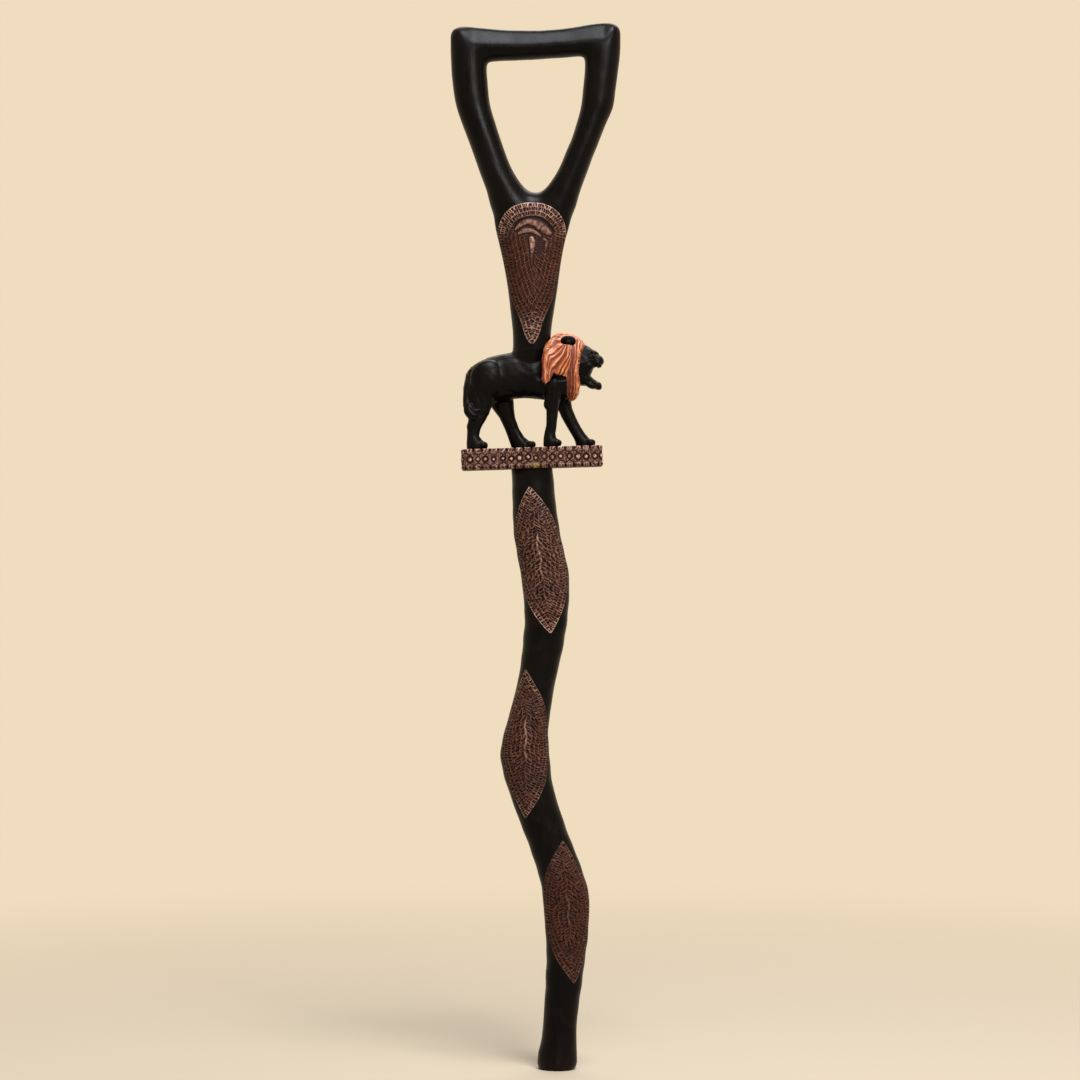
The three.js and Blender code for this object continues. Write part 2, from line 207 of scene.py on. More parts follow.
def shaft_rings():
    """The level sections of the shaft as rows of height, middle x, half width and half depth."""
    corners = np.unique(np.round(read_out(nodes["shaft"].data.vertices), 6), axis=0)
    heights, counts = np.unique(np.round(corners[:, 2], 5), return_counts=True)
    rings = []
    for height in heights[counts >= 24]:
        ring = corners[np.abs(corners[:, 2] - height) < 2e-5]
        left, right = ring[:, 0].min(), ring[:, 0].max()
        rings.append([height, (left + right) / 2, (right - left) / 2, np.ptp(ring[:, 1]) / 2])
    last, before = np.array(rings[-1]), np.array(rings[-2])
    rings.append(last + (last - before) * 1.6)
    return np.array(rings)


rings = shaft_rings()
plinth_low, plinth_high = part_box("plinth")
plinth_middle = (plinth_low + plinth_high) / 2
PLINTH_THICKNESS = 18 * MM
JOINT_GAP = 0.3 * MM
shaft_top = plinth_middle.z - (PLINTH_THICKNESS / 2 + JOINT_GAP) / math.cos(PLINTH_TILT)


def section(height):
    """Middle x, half width and half depth of the shaft at each height."""
    found = flowing(rings[:, 0], rings[:, 1:], np.asarray(height))
    return found[..., 0], found[..., 1], found[..., 2]


ripples = [
    (shade_seed.uniform(90, 420), int(shade_seed.integers(1, 5)), *shade_seed.uniform(0, 2 * math.pi, 2))
    for _ in range(14)
]


def pared(height, angle):
    """The slight unevenness that the spokeshave leaves."""
    waves = sum(
        np.sin(height * pitch + first) * np.cos(angle * turns + second)
        for pitch, turns, first, second in ripples
    )
    return PARED * waves / math.sqrt(len(ripples)) * 2


def shaft_surface(height, angle, proud=0.0):
    """Points on the shaft. The angle is 0 at the front and a quarter turn at the +X side."""
    middle, half_width, half_depth = section(height)
    out_x, out_y = np.sin(angle) / half_width, -np.cos(angle) / half_depth
    size = np.hypot(out_x, out_y)
    lift = proud + pared(height, angle)
    x = middle + half_width * np.sin(angle) + lift * out_x / size
    y = -half_depth * np.cos(angle) + lift * out_y / size
    return np.stack([x, y, height + 0 * x], axis=-1)


def grid_faces(rows, columns, loop=False):
    """Four-sided faces over a grid of points, open at the sides or closed round."""
    row = np.arange(rows - 1)[:, None]
    column = np.arange(columns if loop else columns - 1)[None, :]
    beside = (column + 1) % columns
    corner = row * columns
    return np.stack(
        [corner + column, corner + beside, corner + columns + beside, corner + columns + column], axis=-1
    ).reshape(-1, 4)


def tube_faces(rows, columns):
    """Faces of a tube of level rings, closed at both ends."""
    last = (rows - 1) * columns
    ends = [list(range(columns))[::-1], [last + column for column in range(columns)]]
    return grid_faces(rows, columns, loop=True).tolist() + ends


def set_at(place, points):
    """Points taken to a place, which may lean."""
    return points @ np.array(place.to_3x3()).T + np.array(place.translation)


def add_piece(name, points, faces, material):
    """A new piece of the stick, smooth-shaded, fixed to the one body that the stick has."""
    mesh = bpy.data.meshes.new(name)
    mesh.from_pydata(np.asarray(points).reshape(-1, 3).tolist(), [], faces)
    return dressed(in_scene(name, mesh), material)


def in_scene(name, data):
    """A new object in the scene, from its mesh, lamp or camera."""
    thing = bpy.data.objects.new(name, data)
    scene.collection.objects.link(thing)
    return thing


def dressed(piece, material):
    piece.data.materials.clear()
    piece.data.materials.append(material)
    piece.data.shade_smooth()
    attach(piece, "root")
    return piece


def keep_value(piece, name, values):
    """Stores one number at each point of the piece for its material."""
    kept = piece.data.attributes.new(name, "FLOAT", "POINT")
    kept.data.foreach_set("value", np.asarray(values, dtype=np.float32).ravel())


# Leaf panels: the black surface is cut through to the brown wood in three leaves down the front,
# and in two more down the back. Each leaf's outline runs from a top point to a bottom point.
class Leaf:
    """One leaf panel, measured on the shaft's unrolled surface about a straight spine."""

    def __init__(self, name, top, bottom, half_width, at_back):
        self.name = name
        self.top_x, self.top = (value * MM for value in top)
        self.bottom_x, self.bottom = (value * MM for value in bottom)
        self.length = self.top - self.bottom
        self.half_width = half_width * MM
        self.at_back = at_back

    def spine_angle(self, height):
        middle, half_width, _ = section(height)
        down = (self.top - height) / self.length
        spine = self.top_x + (self.bottom_x - self.top_x) * down
        angle = np.arcsin(np.clip((spine - middle) / half_width, -0.95, 0.95))
        return math.pi - angle if self.at_back else angle

    def reach(self, height):
        """Half the leaf's width at each height, round the surface."""
        down = np.clip((self.top - height) / self.length, 0, 1)
        return self.half_width * np.sin(math.pi * down) ** 0.92

    def radius(self, height):
        _, half_width, half_depth = section(height)
        return (half_width + half_depth) / 2

    def outline(self, steps=160):
        """The outline on the unrolled surface, up one side and down the other."""
        height = self.top - self.length * np.linspace(0, 1, steps)
        right = np.stack([self.reach(height), height], axis=-1)
        left = np.stack([-self.reach(height[::-1]), height[::-1]], axis=-1)
        return np.concatenate([right, left[1:]])


leaves = [
    Leaf("leaf_upper_front", (-24.0, 509.3), (-5.7, 380.8), 28.0, False),
    Leaf("leaf_middle_front", (-27.2, 350.0), (-27.6, 219.6), 24.6, False),
    Leaf("leaf_lower_front", (4.9, 201.0), (14.9, 76.0), 25.0, False),
    Leaf("leaf_upper_back", (-11.0, 431.0), (-27.0, 306.0), 22.0, True),
    Leaf("leaf_lower_back", (-22.0, 268.0), (6.0, 144.0), 22.0, True),
]


def nearest_on(outline, points, chunk=4000):
    """Distance from each point to a drawn line, and how far along the line that is."""
    start, step = outline[:-1], np.diff(outline, axis=0)
    lengths = np.hypot(*step.T)
    travelled = np.concatenate([[0], np.cumsum(lengths)[:-1]])
    flat = points.reshape(-1, 2)
    distance, along = np.empty(len(flat)), np.empty(len(flat))
    for first in range(0, len(flat), chunk):
        some = flat[first : first + chunk, None, :] - start
        share = np.clip((some * step).sum(-1) / np.maximum(lengths**2, 1e-16), 0, 1)
        gap = np.hypot(*np.moveaxis(some - share[..., None] * step, -1, 0))
        best = gap.argmin(1)
        row = np.arange(len(best))
        distance[first : first + chunk] = gap[row, best]
        along[first : first + chunk] = travelled[best] + share[row, best] * lengths[best]
    return distance.reshape(points.shape[:-1]), along.reshape(points.shape[:-1])


def make_shaft():
    """The shaft's skin, let down a little under each leaf, with the top leaning with the plinth."""
    rows = int(shaft_top / SHAFT_ROW)
    edge_round = np.array([0, 0.35, 0.9, 1.6, 2.2]) * MM
    heights = np.concatenate([edge_round, np.linspace(3 * MM, shaft_top, rows)])
    angles = np.arange(SHAFT_COLUMNS) / SHAFT_COLUMNS * 2 * math.pi
    height, angle = np.meshgrid(heights, angles, indexing="ij")
    sunk = np.zeros_like(height)
    for leaf in leaves:
        near = (height < leaf.top) & (height > leaf.bottom)
        turn_from = (angle - leaf.spine_angle(height) + math.pi) % (2 * math.pi) - math.pi
        across = turn_from * leaf.radius(height)
        inside = near & (np.abs(across) < leaf.reach(height))
        flat = np.stack([across, height], axis=-1)[inside]
        distance, _ = nearest_on(leaf.outline(), flat)
        sunk[inside] = -SUNK * eased(distance, LIP, LIP + 0.5 * MM)
    points = shaft_surface(height, angle, sunk)
    tip_round = 1 - 0.035 * (1 - eased(heights, 0, 2.2 * MM))
    middle = section(heights)[0]
    points[..., 0] = middle[:, None] + (points[..., 0] - middle[:, None]) * tip_round[:, None]
    points[..., 1] *= tip_round[:, None]
    leaning = (points[..., 0] - plinth_middle.x) * math.tan(PLINTH_TILT)
    points[..., 2] += leaning * (height / shaft_top) ** 10
    piece = add_piece("shaft_wood", points, tube_faces(*height.shape), black)
    piece.data.set_sharp_from_angle(angle=math.radians(40))
    rubbed = 0.30 * (1 - eased(height, 0, 14 * MM)) + 0.10 * (pared(height, angle) > 0.16 * MM)
    keep_value(piece, "wear_and_highlight", rubbed)
    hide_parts("shaft")


make_shaft()


def cut_brown():
    """Cut brown wood: shade painted dark into the cuts, and the ridges left between them glossier and paler
    with wear and painted highlight.
    """
    material, tree, shader = finish("chip_cut_brown", 0.5)
    depth = carved_value(tree, "cut")
    wear_and_highlight = carved_value(tree, "wear_and_highlight")
    grain = mottle(tree, grained(tree, 0.12), 1500, detail=5)
    cloud = mottle(tree, grained(tree, 0.7), 75, detail=4)
    speck = mottle(tree, grained(tree, 0.8), 420, detail=2)
    ridge = blend(tree, between(tree, grain, 0.35, 0.65), dye(54, 24, 15), dye(86, 45, 30))
    ridge = blend(tree, between(tree, cloud, 0.46, 0.68), ridge, dye(42, 19, 12))
    # Pale ridges: real wear in random specks, and painted highlight where this value is set high for glints
    rubbed = sum_of(tree, wear_and_highlight, between(tree, speck, 0.36, 0.62, 0.15, 1.25), "MULTIPLY")
    ridge = blend(tree, rubbed, ridge, dye(186, 147, 130))
    # Painted shade: the walls of the cuts darker than the ridges, and the deepest cuts near black
    shaded_wall = blend(tree, between(tree, grain, 0.3, 0.7), dye(36, 15, 10), dye(60, 29, 20))
    colour = blend(tree, between(tree, depth, 0.05, 0.34), ridge, shaded_wall)
    colour = blend(tree, between(tree, depth, 0.40, 0.95), colour, dye(16, 7, 5))
    bare = sum_of(tree, carved_value(tree, "bare"), between(tree, grain, 0.25, 0.6), "MULTIPLY")
    colour = blend(tree, bare, colour, dye(132, 108, 66))
    tree.links.new(between(tree, depth, 0.05, 0.6, 0.27, 0.60), shader.inputs["Roughness"])
    coat(tree, shader, colour, grain, 0.35, 0.2)
    shader.inputs["IOR"].default_value = 1.22
    return material


brown = cut_brown()
CHIP_ROW = 3.8 * MM
CHIP_PITCH = 2.45 * MM
CHIP_DEPTH = 0.9 * MM
LEAF_ROWS, LEAF_COLUMNS, UNDER_COLUMNS = 400, 161, 13
LEAF_MARGIN = 0.004
SPINE_WIDTH = 1.0 * MM
FEATHER_ROW = 3.9 * MM
FEATHER_PITCH = 3.4 * MM
FEATHER_SLANT = -0.85
FRINGE_ROWS = 3
RIM_SINK = 0.25 * MM


def chance(*counts):
    """A number from 0 to 1 that looks drawn at random for each set of counts."""
    mixed = sum(count * weight for count, weight in zip(counts, (12.9898, 78.233, 37.719)))
    return np.abs(np.modf(np.sin(mixed) * 43758.5453)[0])


def wedge_chips(inward, along, seed, row_width=CHIP_ROW, pitch=CHIP_PITCH, slant=0.0):
    """Rows of chips side by side, each wide at its outer end: how deep the knife goes, from 0 to 1."""
    drift = 0.28 * MM * np.sin(along / MM * 0.21 + seed * 1.7) * eased(inward, 0, row_width)
    row = np.floor((inward + drift) / row_width)
    across = (inward + drift) / row_width - row
    uneven = 0.30 * np.sin(along / MM * 0.37 + row * 2.3 + seed)
    uneven += 0.18 * np.sin(along / MM * 0.83 + row * 4.1)
    place = along / pitch + 0.5 * (row % 2) + slant * across + seed * 0.37 + uneven
    chip = np.floor(place)
    luck = chance(row, chip, seed)
    turn = 0.34 * (chance(chip, row, seed + 3) - 0.5) * (across - 0.5)
    beside = np.abs(place - chip - 0.5 - 0.14 * (luck - 0.5) - turn) * 2
    bed = np.clip(1.12 - beside / (0.95 - 0.36 * across), 0, 1)
    reach_in = 0.76 + 0.14 * luck
    ends = eased(across, 0.02, 0.24) * (1 - eased(across, reach_in, reach_in + 0.16))
    return bed * ends * (0.62 + 0.55 * luck)


def make_leaf(leaf, seed, ridge_paleness):
    """A leaf's carved face, closed underneath along the shaft's let-down surface."""
    heights = leaf.top - leaf.length * np.linspace(LEAF_MARGIN, 1 - LEAF_MARGIN, LEAF_ROWS)
    shares = np.linspace(-1, 1, LEAF_COLUMNS)
    height, share = np.meshgrid(heights, shares, indexing="ij")
    across = share * leaf.reach(height)
    distance, along = nearest_on(leaf.outline(), np.stack([across, height], axis=-1))
    fringe = wedge_chips(distance, along, seed)
    down = leaf.top - height
    from_spine = across - 0.8 * MM * np.sin(down / MM * 0.31 + seed) - 0.35 * MM * np.sin(down / MM * 1.1)
    spine_here = eased(down / leaf.length, 0.30, 0.38) * (1 - eased(down / leaf.length, 0.54, 0.64))
    beside = np.maximum(np.abs(from_spine) - spine_here * SPINE_WIDTH / 2, 0)
    barb_along = down * np.where(from_spine > 0, 1, 0.97)
    feather = wedge_chips(beside, barb_along, seed + 5, FEATHER_ROW, FEATHER_PITCH, FEATHER_SLANT)
    fringe_width = FRINGE_ROWS * CHIP_ROW
    in_heart = eased(distance, fringe_width - 0.3 * MM, fringe_width + 0.3 * MM)
    cut = fringe * (1 - in_heart) + feather * in_heart
    cut *= eased(distance, 0.1 * MM, 1.3 * MM)
    crown = 0.16 * MM * np.sin(np.clip(distance / CHIP_ROW, 0, FRINGE_ROWS) * math.pi) ** 2
    tool = 0.05 * MM * (chance(np.floor(along / CHIP_PITCH), np.floor(distance / CHIP_ROW)) - 0.5)
    proud = 0.07 * MM + tool - CHIP_DEPTH * np.minimum(cut, 1.3) - (0.16 * MM - crown) * in_heart
    angle = leaf.spine_angle(height) + across / leaf.radius(height)
    points = shaft_surface(height, angle, rim_let_down(proud, share, height))
    under_share = np.linspace(-1, 1, UNDER_COLUMNS)[1:-1]
    low_height, low_share = np.meshgrid(heights, under_share, indexing="ij")
    low_across = low_share * leaf.reach(low_height)
    low_angle = leaf.spine_angle(low_height) + low_across / leaf.radius(low_height)
    low_depth = SUNK * eased((1 - np.abs(low_share)) * leaf.reach(low_height), 0, 3 * MM)
    under = shaft_surface(low_height, low_angle, -RIM_SINK - low_depth)
    # Painted highlight along the edge towards the ends and down the spine, over an even wear
    edge = 1 - eased(distance, 0.8 * MM, 5.5 * MM)
    toward_ends = eased(np.abs(down / leaf.length - 0.5), 0.20, 0.44)
    spine = spine_here * (1 - eased(np.abs(from_spine), SPINE_WIDTH * 0.4, SPINE_WIDTH * 0.8))
    wear_and_highlight = ridge_paleness * (0.20 + 0.75 * edge * toward_ends + 0.5 * spine)
    add_panel(leaf.name, points, under, cut, wear_and_highlight)


def rim_let_down(proud, share, height):
    """Lets the edge of a panel's face down under the black skin round it."""
    rim = (np.abs(share) > 0.9999) | (height > height[1]) | (height < height[-2])
    return np.where(rim, -RIM_SINK, proud)


def add_panel(name, top, under, cut, wear_and_highlight):
    """A panel of its carved face and a coarser back that shares its edge."""
    rows, columns = top.shape[:2]
    top_index = np.arange(rows * columns).reshape(rows, columns)
    low_index = rows * columns + np.arange(rows * under.shape[1]).reshape(rows, -1)
    ring = np.concatenate([top_index[:, :1], low_index, top_index[:, -1:]], axis=1)
    back = np.stack([ring[:-1, :-1], ring[1:, :-1], ring[1:, 1:], ring[:-1, 1:]], axis=-1).reshape(-1, 4)
    ends = [
        np.concatenate([top_index[0][::-1], ring[0][1:-1]]).tolist(),
        np.concatenate([top_index[-1], ring[-1][1:-1][::-1]]).tolist(),
    ]
    points = np.concatenate([top.reshape(-1, 3), under.reshape(-1, 3)])
    faces = grid_faces(rows, columns).tolist() + back.tolist() + ends
    piece = add_piece(name, points, faces, brown)
    hidden = under.size // 3
    keep_value(piece, "cut", np.append(np.minimum(cut, 1), np.ones(hidden)))
    keep_value(piece, "wear_and_highlight", np.append(wear_and_highlight, np.zeros(hidden)))
    # Every face is turned to look outwards
    shell = bmesh.new()
    shell.from_mesh(piece.data)
    bmesh.ops.recalc_face_normals(shell, faces=shell.faces)
    shell.to_mesh(piece.data)
    shell.free()


# How pale the wear and painted highlight make each leaf: the high ones palest
for number, (leaf, ridge_paleness) in enumerate(zip(leaves, (0.95, 0.55, 0.2, 0.75, 0.4))):
    make_leaf(leaf, number + 1, ridge_paleness)

# Plinth: a flat block sawn a little out of square, its rim carved all round with a row of beads.
# It is glued on the shaft's dowel, and the lion stands on it.
PLINTH_LENGTH = 124 * MM
PLINTH_DEPTH = 46 * MM
PLINTH_CORNER = 4 * MM
PLINTH_COLUMNS = 736
RIM_ROWS = 45
BEADS = 46
BEAD_RADIUS = 1.75 * MM
BEAD_RING = 2.75 * MM
BORDER_NICKS = 120
HATCHES = 184
# How far in from the rim each ring of the flat faces lies
FLAT_RINGS = np.array([1.6, 2.6, 4, 6.5, 10, 14, 18.5, 22.0]) * MM
# A spot on the lower front edge where the stain has chipped off: its place in millimetres
BARE_SPOT = (2.5, -6.2)


def rim_point(travel):
    """A place on the rim's outline and the way out from it, by the distance travelled round."""
    straights = (PLINTH_LENGTH - 2 * PLINTH_CORNER, PLINTH_DEPTH - 2 * PLINTH_CORNER)
    arc = PLINTH_CORNER * math.pi / 2
    for quarter, (side_x, side_y) in enumerate(((-1, -1), (1, -1), (1, 1), (-1, 1))):
        straight = straights[quarter % 2]
        if travel - straight <= arc:
            break
        travel = travel - straight - arc
    turn = quarter * math.pi / 2
    turned = turn + max(travel - straight, 0) / PLINTH_CORNER
    corner = Vector((side_x * straights[0] / 2, side_y * straights[1] / 2, 0))
    ahead = Vector((math.cos(turn), math.sin(turn), 0))
    out = Vector((math.sin(turned), -math.cos(turned), 0))
    return corner + ahead * min(travel, straight) + out * PLINTH_CORNER, out


def make_plinth():
    round_length = 2 * (PLINTH_LENGTH + PLINTH_DEPTH) - 8 * PLINTH_CORNER + 2 * math.pi * PLINTH_CORNER
    columns = PLINTH_COLUMNS
    travel = np.arange(columns) / columns * round_length
    spots = [rim_point(distance) for distance in travel]
    edge = np.array([spot for spot, _ in spots])
    out = np.array([way for _, way in spots])
    heights = np.linspace(-PLINTH_THICKNESS / 2, PLINTH_THICKNESS / 2, RIM_ROWS)
    height, along = np.meshgrid(heights, travel, indexing="ij")
    bead_pitch = round_length / BEADS
    bead = np.floor(along / bead_pitch)
    luck, size_luck, side_luck, depth_luck = (chance(bead, count) for count in (3, 4, 6, 8))
    from_gap = (along / bead_pitch - bead - 0.5) * bead_pitch
    from_bead = from_gap + 1.1 * MM * (side_luck - 0.5)
    level = height - 1.2 * MM * (luck - 0.5)
    away = np.hypot(from_bead, level) / (0.80 + 0.40 * size_luck)
    dome = np.sqrt(np.clip(1 - (away / BEAD_RADIUS) ** 2, 0, 1))
    ring = eased(away, BEAD_RADIUS * 0.8, BEAD_RADIUS * 1.05)
    ring *= 1 - eased(away, BEAD_RING, BEAD_RING * 1.28)
    ring *= 0.45 + 0.45 * depth_luck
    scallop = BEAD_RING + 0.75 * MM + 0.9 * MM * (1 - np.cos(from_bead / bead_pitch * 2 * math.pi))
    groove = (0.45 + 0.5 * luck) * close_to(np.abs(level) - scallop, 0.45 * MM)
    border = eased(np.abs(height), 5.4 * MM, 6.6 * MM)
    gap_between = close_to(np.abs(from_gap) - bead_pitch / 2, 0.75 * MM) * border
    from_edge = PLINTH_THICKNESS / 2 - np.abs(height)
    nicks = wedge_chips(from_edge, along, 5, 3 * MM, round_length / BORDER_NICKS, slant=0.5)
    hatching = wedge_chips(np.abs(height), along, 9, 5 * MM, round_length / HATCHES)
    between_rings = (1 - border) * eased(away, BEAD_RING * 1.2, BEAD_RING * 1.5)
    cuts = [ring, groove * (1 - border), 0.55 * nicks * border, 0.9 * gap_between]
    cut = np.maximum.reduce([*cuts, 0.45 * hatching * between_rings])
    cut = np.where(away < BEAD_RADIUS, np.minimum(cut, 0.7 * (1 - dome)), cut)
    lobe = border * (1 - gap_between) * (0.5 + 0.5 * chance(bead, 11))
    rounding = (np.abs(heights) / (PLINTH_THICKNESS / 2)) ** 14
    upper = np.sign(height)
    hewn = sum(np.sin(along / (length * MM) + length * upper) for length in (1.3, 2.9, 5.3, 9.1)) / 4
    rough = 0.35 * MM * (1 + hewn) * (0.3 + rounding[:, None])
    inset = (0.60 - 0.55 * np.maximum(dome, lobe) + 1.0 * cut) * MM + rounding[:, None] * 0.7 * MM + rough
    side = edge[None, :, :] - out[None, :, :] * inset[..., None]
    side[..., 2] = height * (1 - 0.07 * rounding[:, None] * np.maximum(gap_between, 0.5 * nicks * border))
    half_size = np.array([PLINTH_LENGTH, PLINTH_DEPTH]) / 2
    flats = []
    for step in FLAT_RINGS:
        shrunk = edge - out * min(step, PLINTH_CORNER)
        if step > PLINTH_CORNER:
            limit = half_size - PLINTH_CORNER - (step - PLINTH_CORNER)
            shrunk[:, :2] = np.clip(shrunk[:, :2], -limit, limit)
        flats.append(shrunk)
    chiselled = [0.10 * MM * chance(np.floor(travel / (5 * MM)), number) for number in range(len(flats))]
    top = [flat + np.array([0, 0, PLINTH_THICKNESS / 2 - 0.02 * MM]) for flat in flats]
    for number, flat in enumerate(top):
        flat[:, 2] -= chiselled[number]
    low = [flat + np.array([0, 0, -PLINTH_THICKNESS / 2 + 0.02 * MM]) for flat in flats[::-1]]
    points = np.concatenate([np.concatenate(low), side.reshape(-1, 3), np.concatenate(top)])
    lean = Matrix.Translation(plinth_middle) @ Matrix.Rotation(-PLINTH_TILT, 4, "Y")
    faces = tube_faces(len(points) // columns, columns)
    piece = add_piece("plinth_block", set_at(lean, points), faces, brown)
    piece.data.set_sharp_from_angle(angle=math.radians(50))
    # The flat top and bottom faces take the painted shade of a cut this deep
    flat_depth = np.full(len(flats) * columns, 0.62)
    keep_value(piece, "cut", np.concatenate([flat_depth, np.minimum(cut, 1).ravel(), flat_depth]))
    # Painted highlight: glints on the bead tops and pale lobes, the upper lobes paler than the lower, over
    # an even wear
    wear_and_highlight = 0.30 + 0.80 * eased(dome, 0.6, 0.92) + (0.50 * (height > 0) + 0.12) * lobe
    keep_value(piece, "wear_and_highlight", np.concatenate([0 * flat_depth, wear_and_highlight.ravel(), 0 * flat_depth]))
    from_spot = points[:, [0, 2]] - np.array(BARE_SPOT) * MM
    from_spot = np.hypot(from_spot[:, 0] / 5, from_spot[:, 1] / 2.2)
    keep_value(piece, "bare", (1 - eased(from_spot, 0.6 * MM, 1.2 * MM)) * (points[:, 1] < -20 * MM))
    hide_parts("plinth")
    return lean


plinth_place = make_plinth()

# Lion: the standing figure and the stump on its back, carved from one block and stained black.
# The pegs hold its paws on the plinth, and the neck above is glued on its dowel.
LION_GRAIN = 0.55 * MM
JOINT_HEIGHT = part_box("handle")[0].z
# Each skin first runs on past its joint by this lap, and over the rods, and is then cut back to fit them
JOINT_LAP = 16 * MM
NECK_FRONT = -0.0035
DOWEL_COVER, DOWEL_BORE = 1.08, 1.05
PEG_COVER, PEG_BORE = 1.16, 1.13
paw_pegs = [node for node in nodes if node.startswith("paw_peg")]


def plain_copy(node, shift=(0, 0, 0), grow=1.0):
    """A loose copy of a CAD node's solid, moved, and grown about its own middle."""
    low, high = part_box(node)
    middle = (low + high) / 2
    shell = bmesh.new()
    shell.from_mesh(nodes[node].data)
    bmesh.ops.remove_doubles(shell, verts=shell.verts, dist=1e-6)
    place = Matrix.Translation(middle + Vector(shift)) @ Matrix.Scale(grow, 4)
    shell.transform(place @ Matrix.Translation(-middle))
    return shell


def part_of(node, height, keep_above, shift=(0, 0, 0)):
    """A copy of the piece of a CAD node above or below a level, closed with a flat face."""
    shell = plain_copy(node, shift)
    everything = shell.verts[:] + shell.edges[:] + shell.faces[:]
    bmesh.ops.bisect_plane(
        shell,
        geom=everything,
        plane_co=(0, 0, height),
        plane_no=(0, 0, 1),
        clear_outer=not keep_above,
        clear_inner=keep_above,
    )
    bmesh.ops.holes_fill(shell, edges=[edge for edge in shell.edges if edge.is_boundary], sides=0)
    return shell


def lump(middle, radii, lean=0.0):
    """A rounded swelling, its middle and radii in millimetres, leaning in degrees about Y."""
    shell = bmesh.new()
    bmesh.ops.create_icosphere(shell, subdivisions=3, radius=1)
    place = Matrix.Translation(Vector(middle) * MM) @ Matrix.Rotation(math.radians(lean), 4, "Y")
    shell.transform(place @ Matrix.Diagonal((*(radius * MM for radius in radii), 1)))
    return shell


def lock(path, steps):
    """A tapering lock or cord of wood along places in millimetres, each with its radius there."""
    path = np.array(path, dtype=float)
    places = np.linspace(0, 1, len(path))
    at = np.linspace(0, 1, steps)
    route = flowing(places, path[:, :3], at)
    sizes = np.interp(at, places, path[:, 3])
    return [lump(spot, (size, size, size)) for spot, size in zip(route, sizes)]


def one_skin(name, shells, voxel, rounds):
    """Stretches one closed skin over shells that overlap, and rubs it smooth."""
    mesh = bpy.data.meshes.new(name)
    gathered = bmesh.new()
    for shell in shells:
        shell.to_mesh(mesh)
        shell.free()
        gathered.from_mesh(mesh)
    gathered.to_mesh(mesh)
    gathered.free()
    loose = in_scene(name, mesh)
    skin = loose.modifiers.new("skin", "REMESH")
    skin.mode = "VOXEL"
    skin.voxel_size = voxel
    rub = loose.modifiers.new("rub", "SMOOTH")
    rub.factor = 0.5
    rub.iterations = rounds
    return made_solid(loose)


def made_solid(piece):
    """Applies all of a piece's modifiers to its mesh."""
    settled = bpy.data.meshes.new_from_object(piece.evaluated_get(bpy.context.evaluated_depsgraph_get()))
    piece.modifiers.clear()
    piece.data = settled
    return piece


def skin_of(piece):
    """Each point of a piece, and the way out from its skin there."""
    return read_out(piece.data.vertices), read_out(piece.data.vertex_normals, "vector")


def set_points(piece, points):
    piece.data.vertices.foreach_set("co", np.asarray(points, dtype=np.float32).ravel())
    piece.data.update()


def convexity(piece):
    """How far each point stands proud of its neighbours, as a share of their spacing."""
    points, normals = skin_of(piece)
    pairs = np.empty(len(piece.data.edges) * 2, dtype=np.int32)
    piece.data.edges.foreach_get("vertices", pairs)
    ends = pairs.reshape(-1, 2)
    count = np.bincount(pairs, minlength=len(points))[:, None]
    size = np.linalg.norm(points[ends[:, 0]] - points[ends[:, 1]], axis=1).mean()
    value = points
    for _ in range(6):
        total = np.stack(
            [
                np.bincount(ends[:, 0], value[ends[:, 1], axis], len(points))
                + np.bincount(ends[:, 1], value[ends[:, 0], axis], len(points))
                for axis in range(3)
            ],
            axis=1,
        )
        value = total / np.maximum(count, 1)
    return ((points - value) * normals).sum(1) / size


def mesh_of(name, shell):
    mesh = bpy.data.meshes.new(name)
    shell.to_mesh(mesh)
    shell.free()
    return mesh


def box_cutter(low, high, place=None):
    """A loose block for cutting, its corners in metres."""
    shell = bmesh.new()
    bmesh.ops.create_cube(shell, size=1)
    low, high = Vector(low), Vector(high)
    shell.transform(Matrix.Translation((low + high) / 2) @ Matrix.Diagonal((*(high - low), 1)))
    if place is not None:
        shell.transform(place)
    return shell


def cut_away(piece, *cutters):
    """Cuts shells out of a piece."""
    for shell in cutters:
        tool = in_scene("cutter", mesh_of("cutter", shell))
        cut = piece.modifiers.new("cut", "BOOLEAN")
        cut.operation = "DIFFERENCE"
        cut.solver = "MANIFOLD"
        cut.object = tool
        made_solid(piece)
        bpy.data.objects.remove(tool)
    return piece


# Each row is a swelling on the head: its middle, its radii and its lean. A lone one is on the middle line.
head_lumps = [
    ((38.6, 0, 619.6), (3.4, 4.6, 4.0), 10),
    ((31.4, 0, 626.4), (6.4, 3.6, 2.4), 24),
    ((35.9, 0, 597.8), (3.1, 4.6, 3.1), -30),
    ((27.0, 0, 603.4), (9.0, 3.6, 1.7), 18),
]
paired_head_lumps = [
    ((28.4, 6.0, 627.2), (4.6, 2.8, 1.9), 28),
    ((31.0, 7.0, 622.6), (2.1, 1.9, 1.5), 20),
    ((35.4, 4.2, 617.0), (4.8, 3.8, 3.7), 8),
    ((27.0, 8.8, 614.4), (5.0, 2.8, 4.4), 20),
    ((36.0, 3.8, 613.8), (0.8, 0.8, 1.5), -6),
    ((29.0, 5.8, 598.0), (6.0, 2.4, 2.6), 24),
]
NEAR, FAR = -1, 1
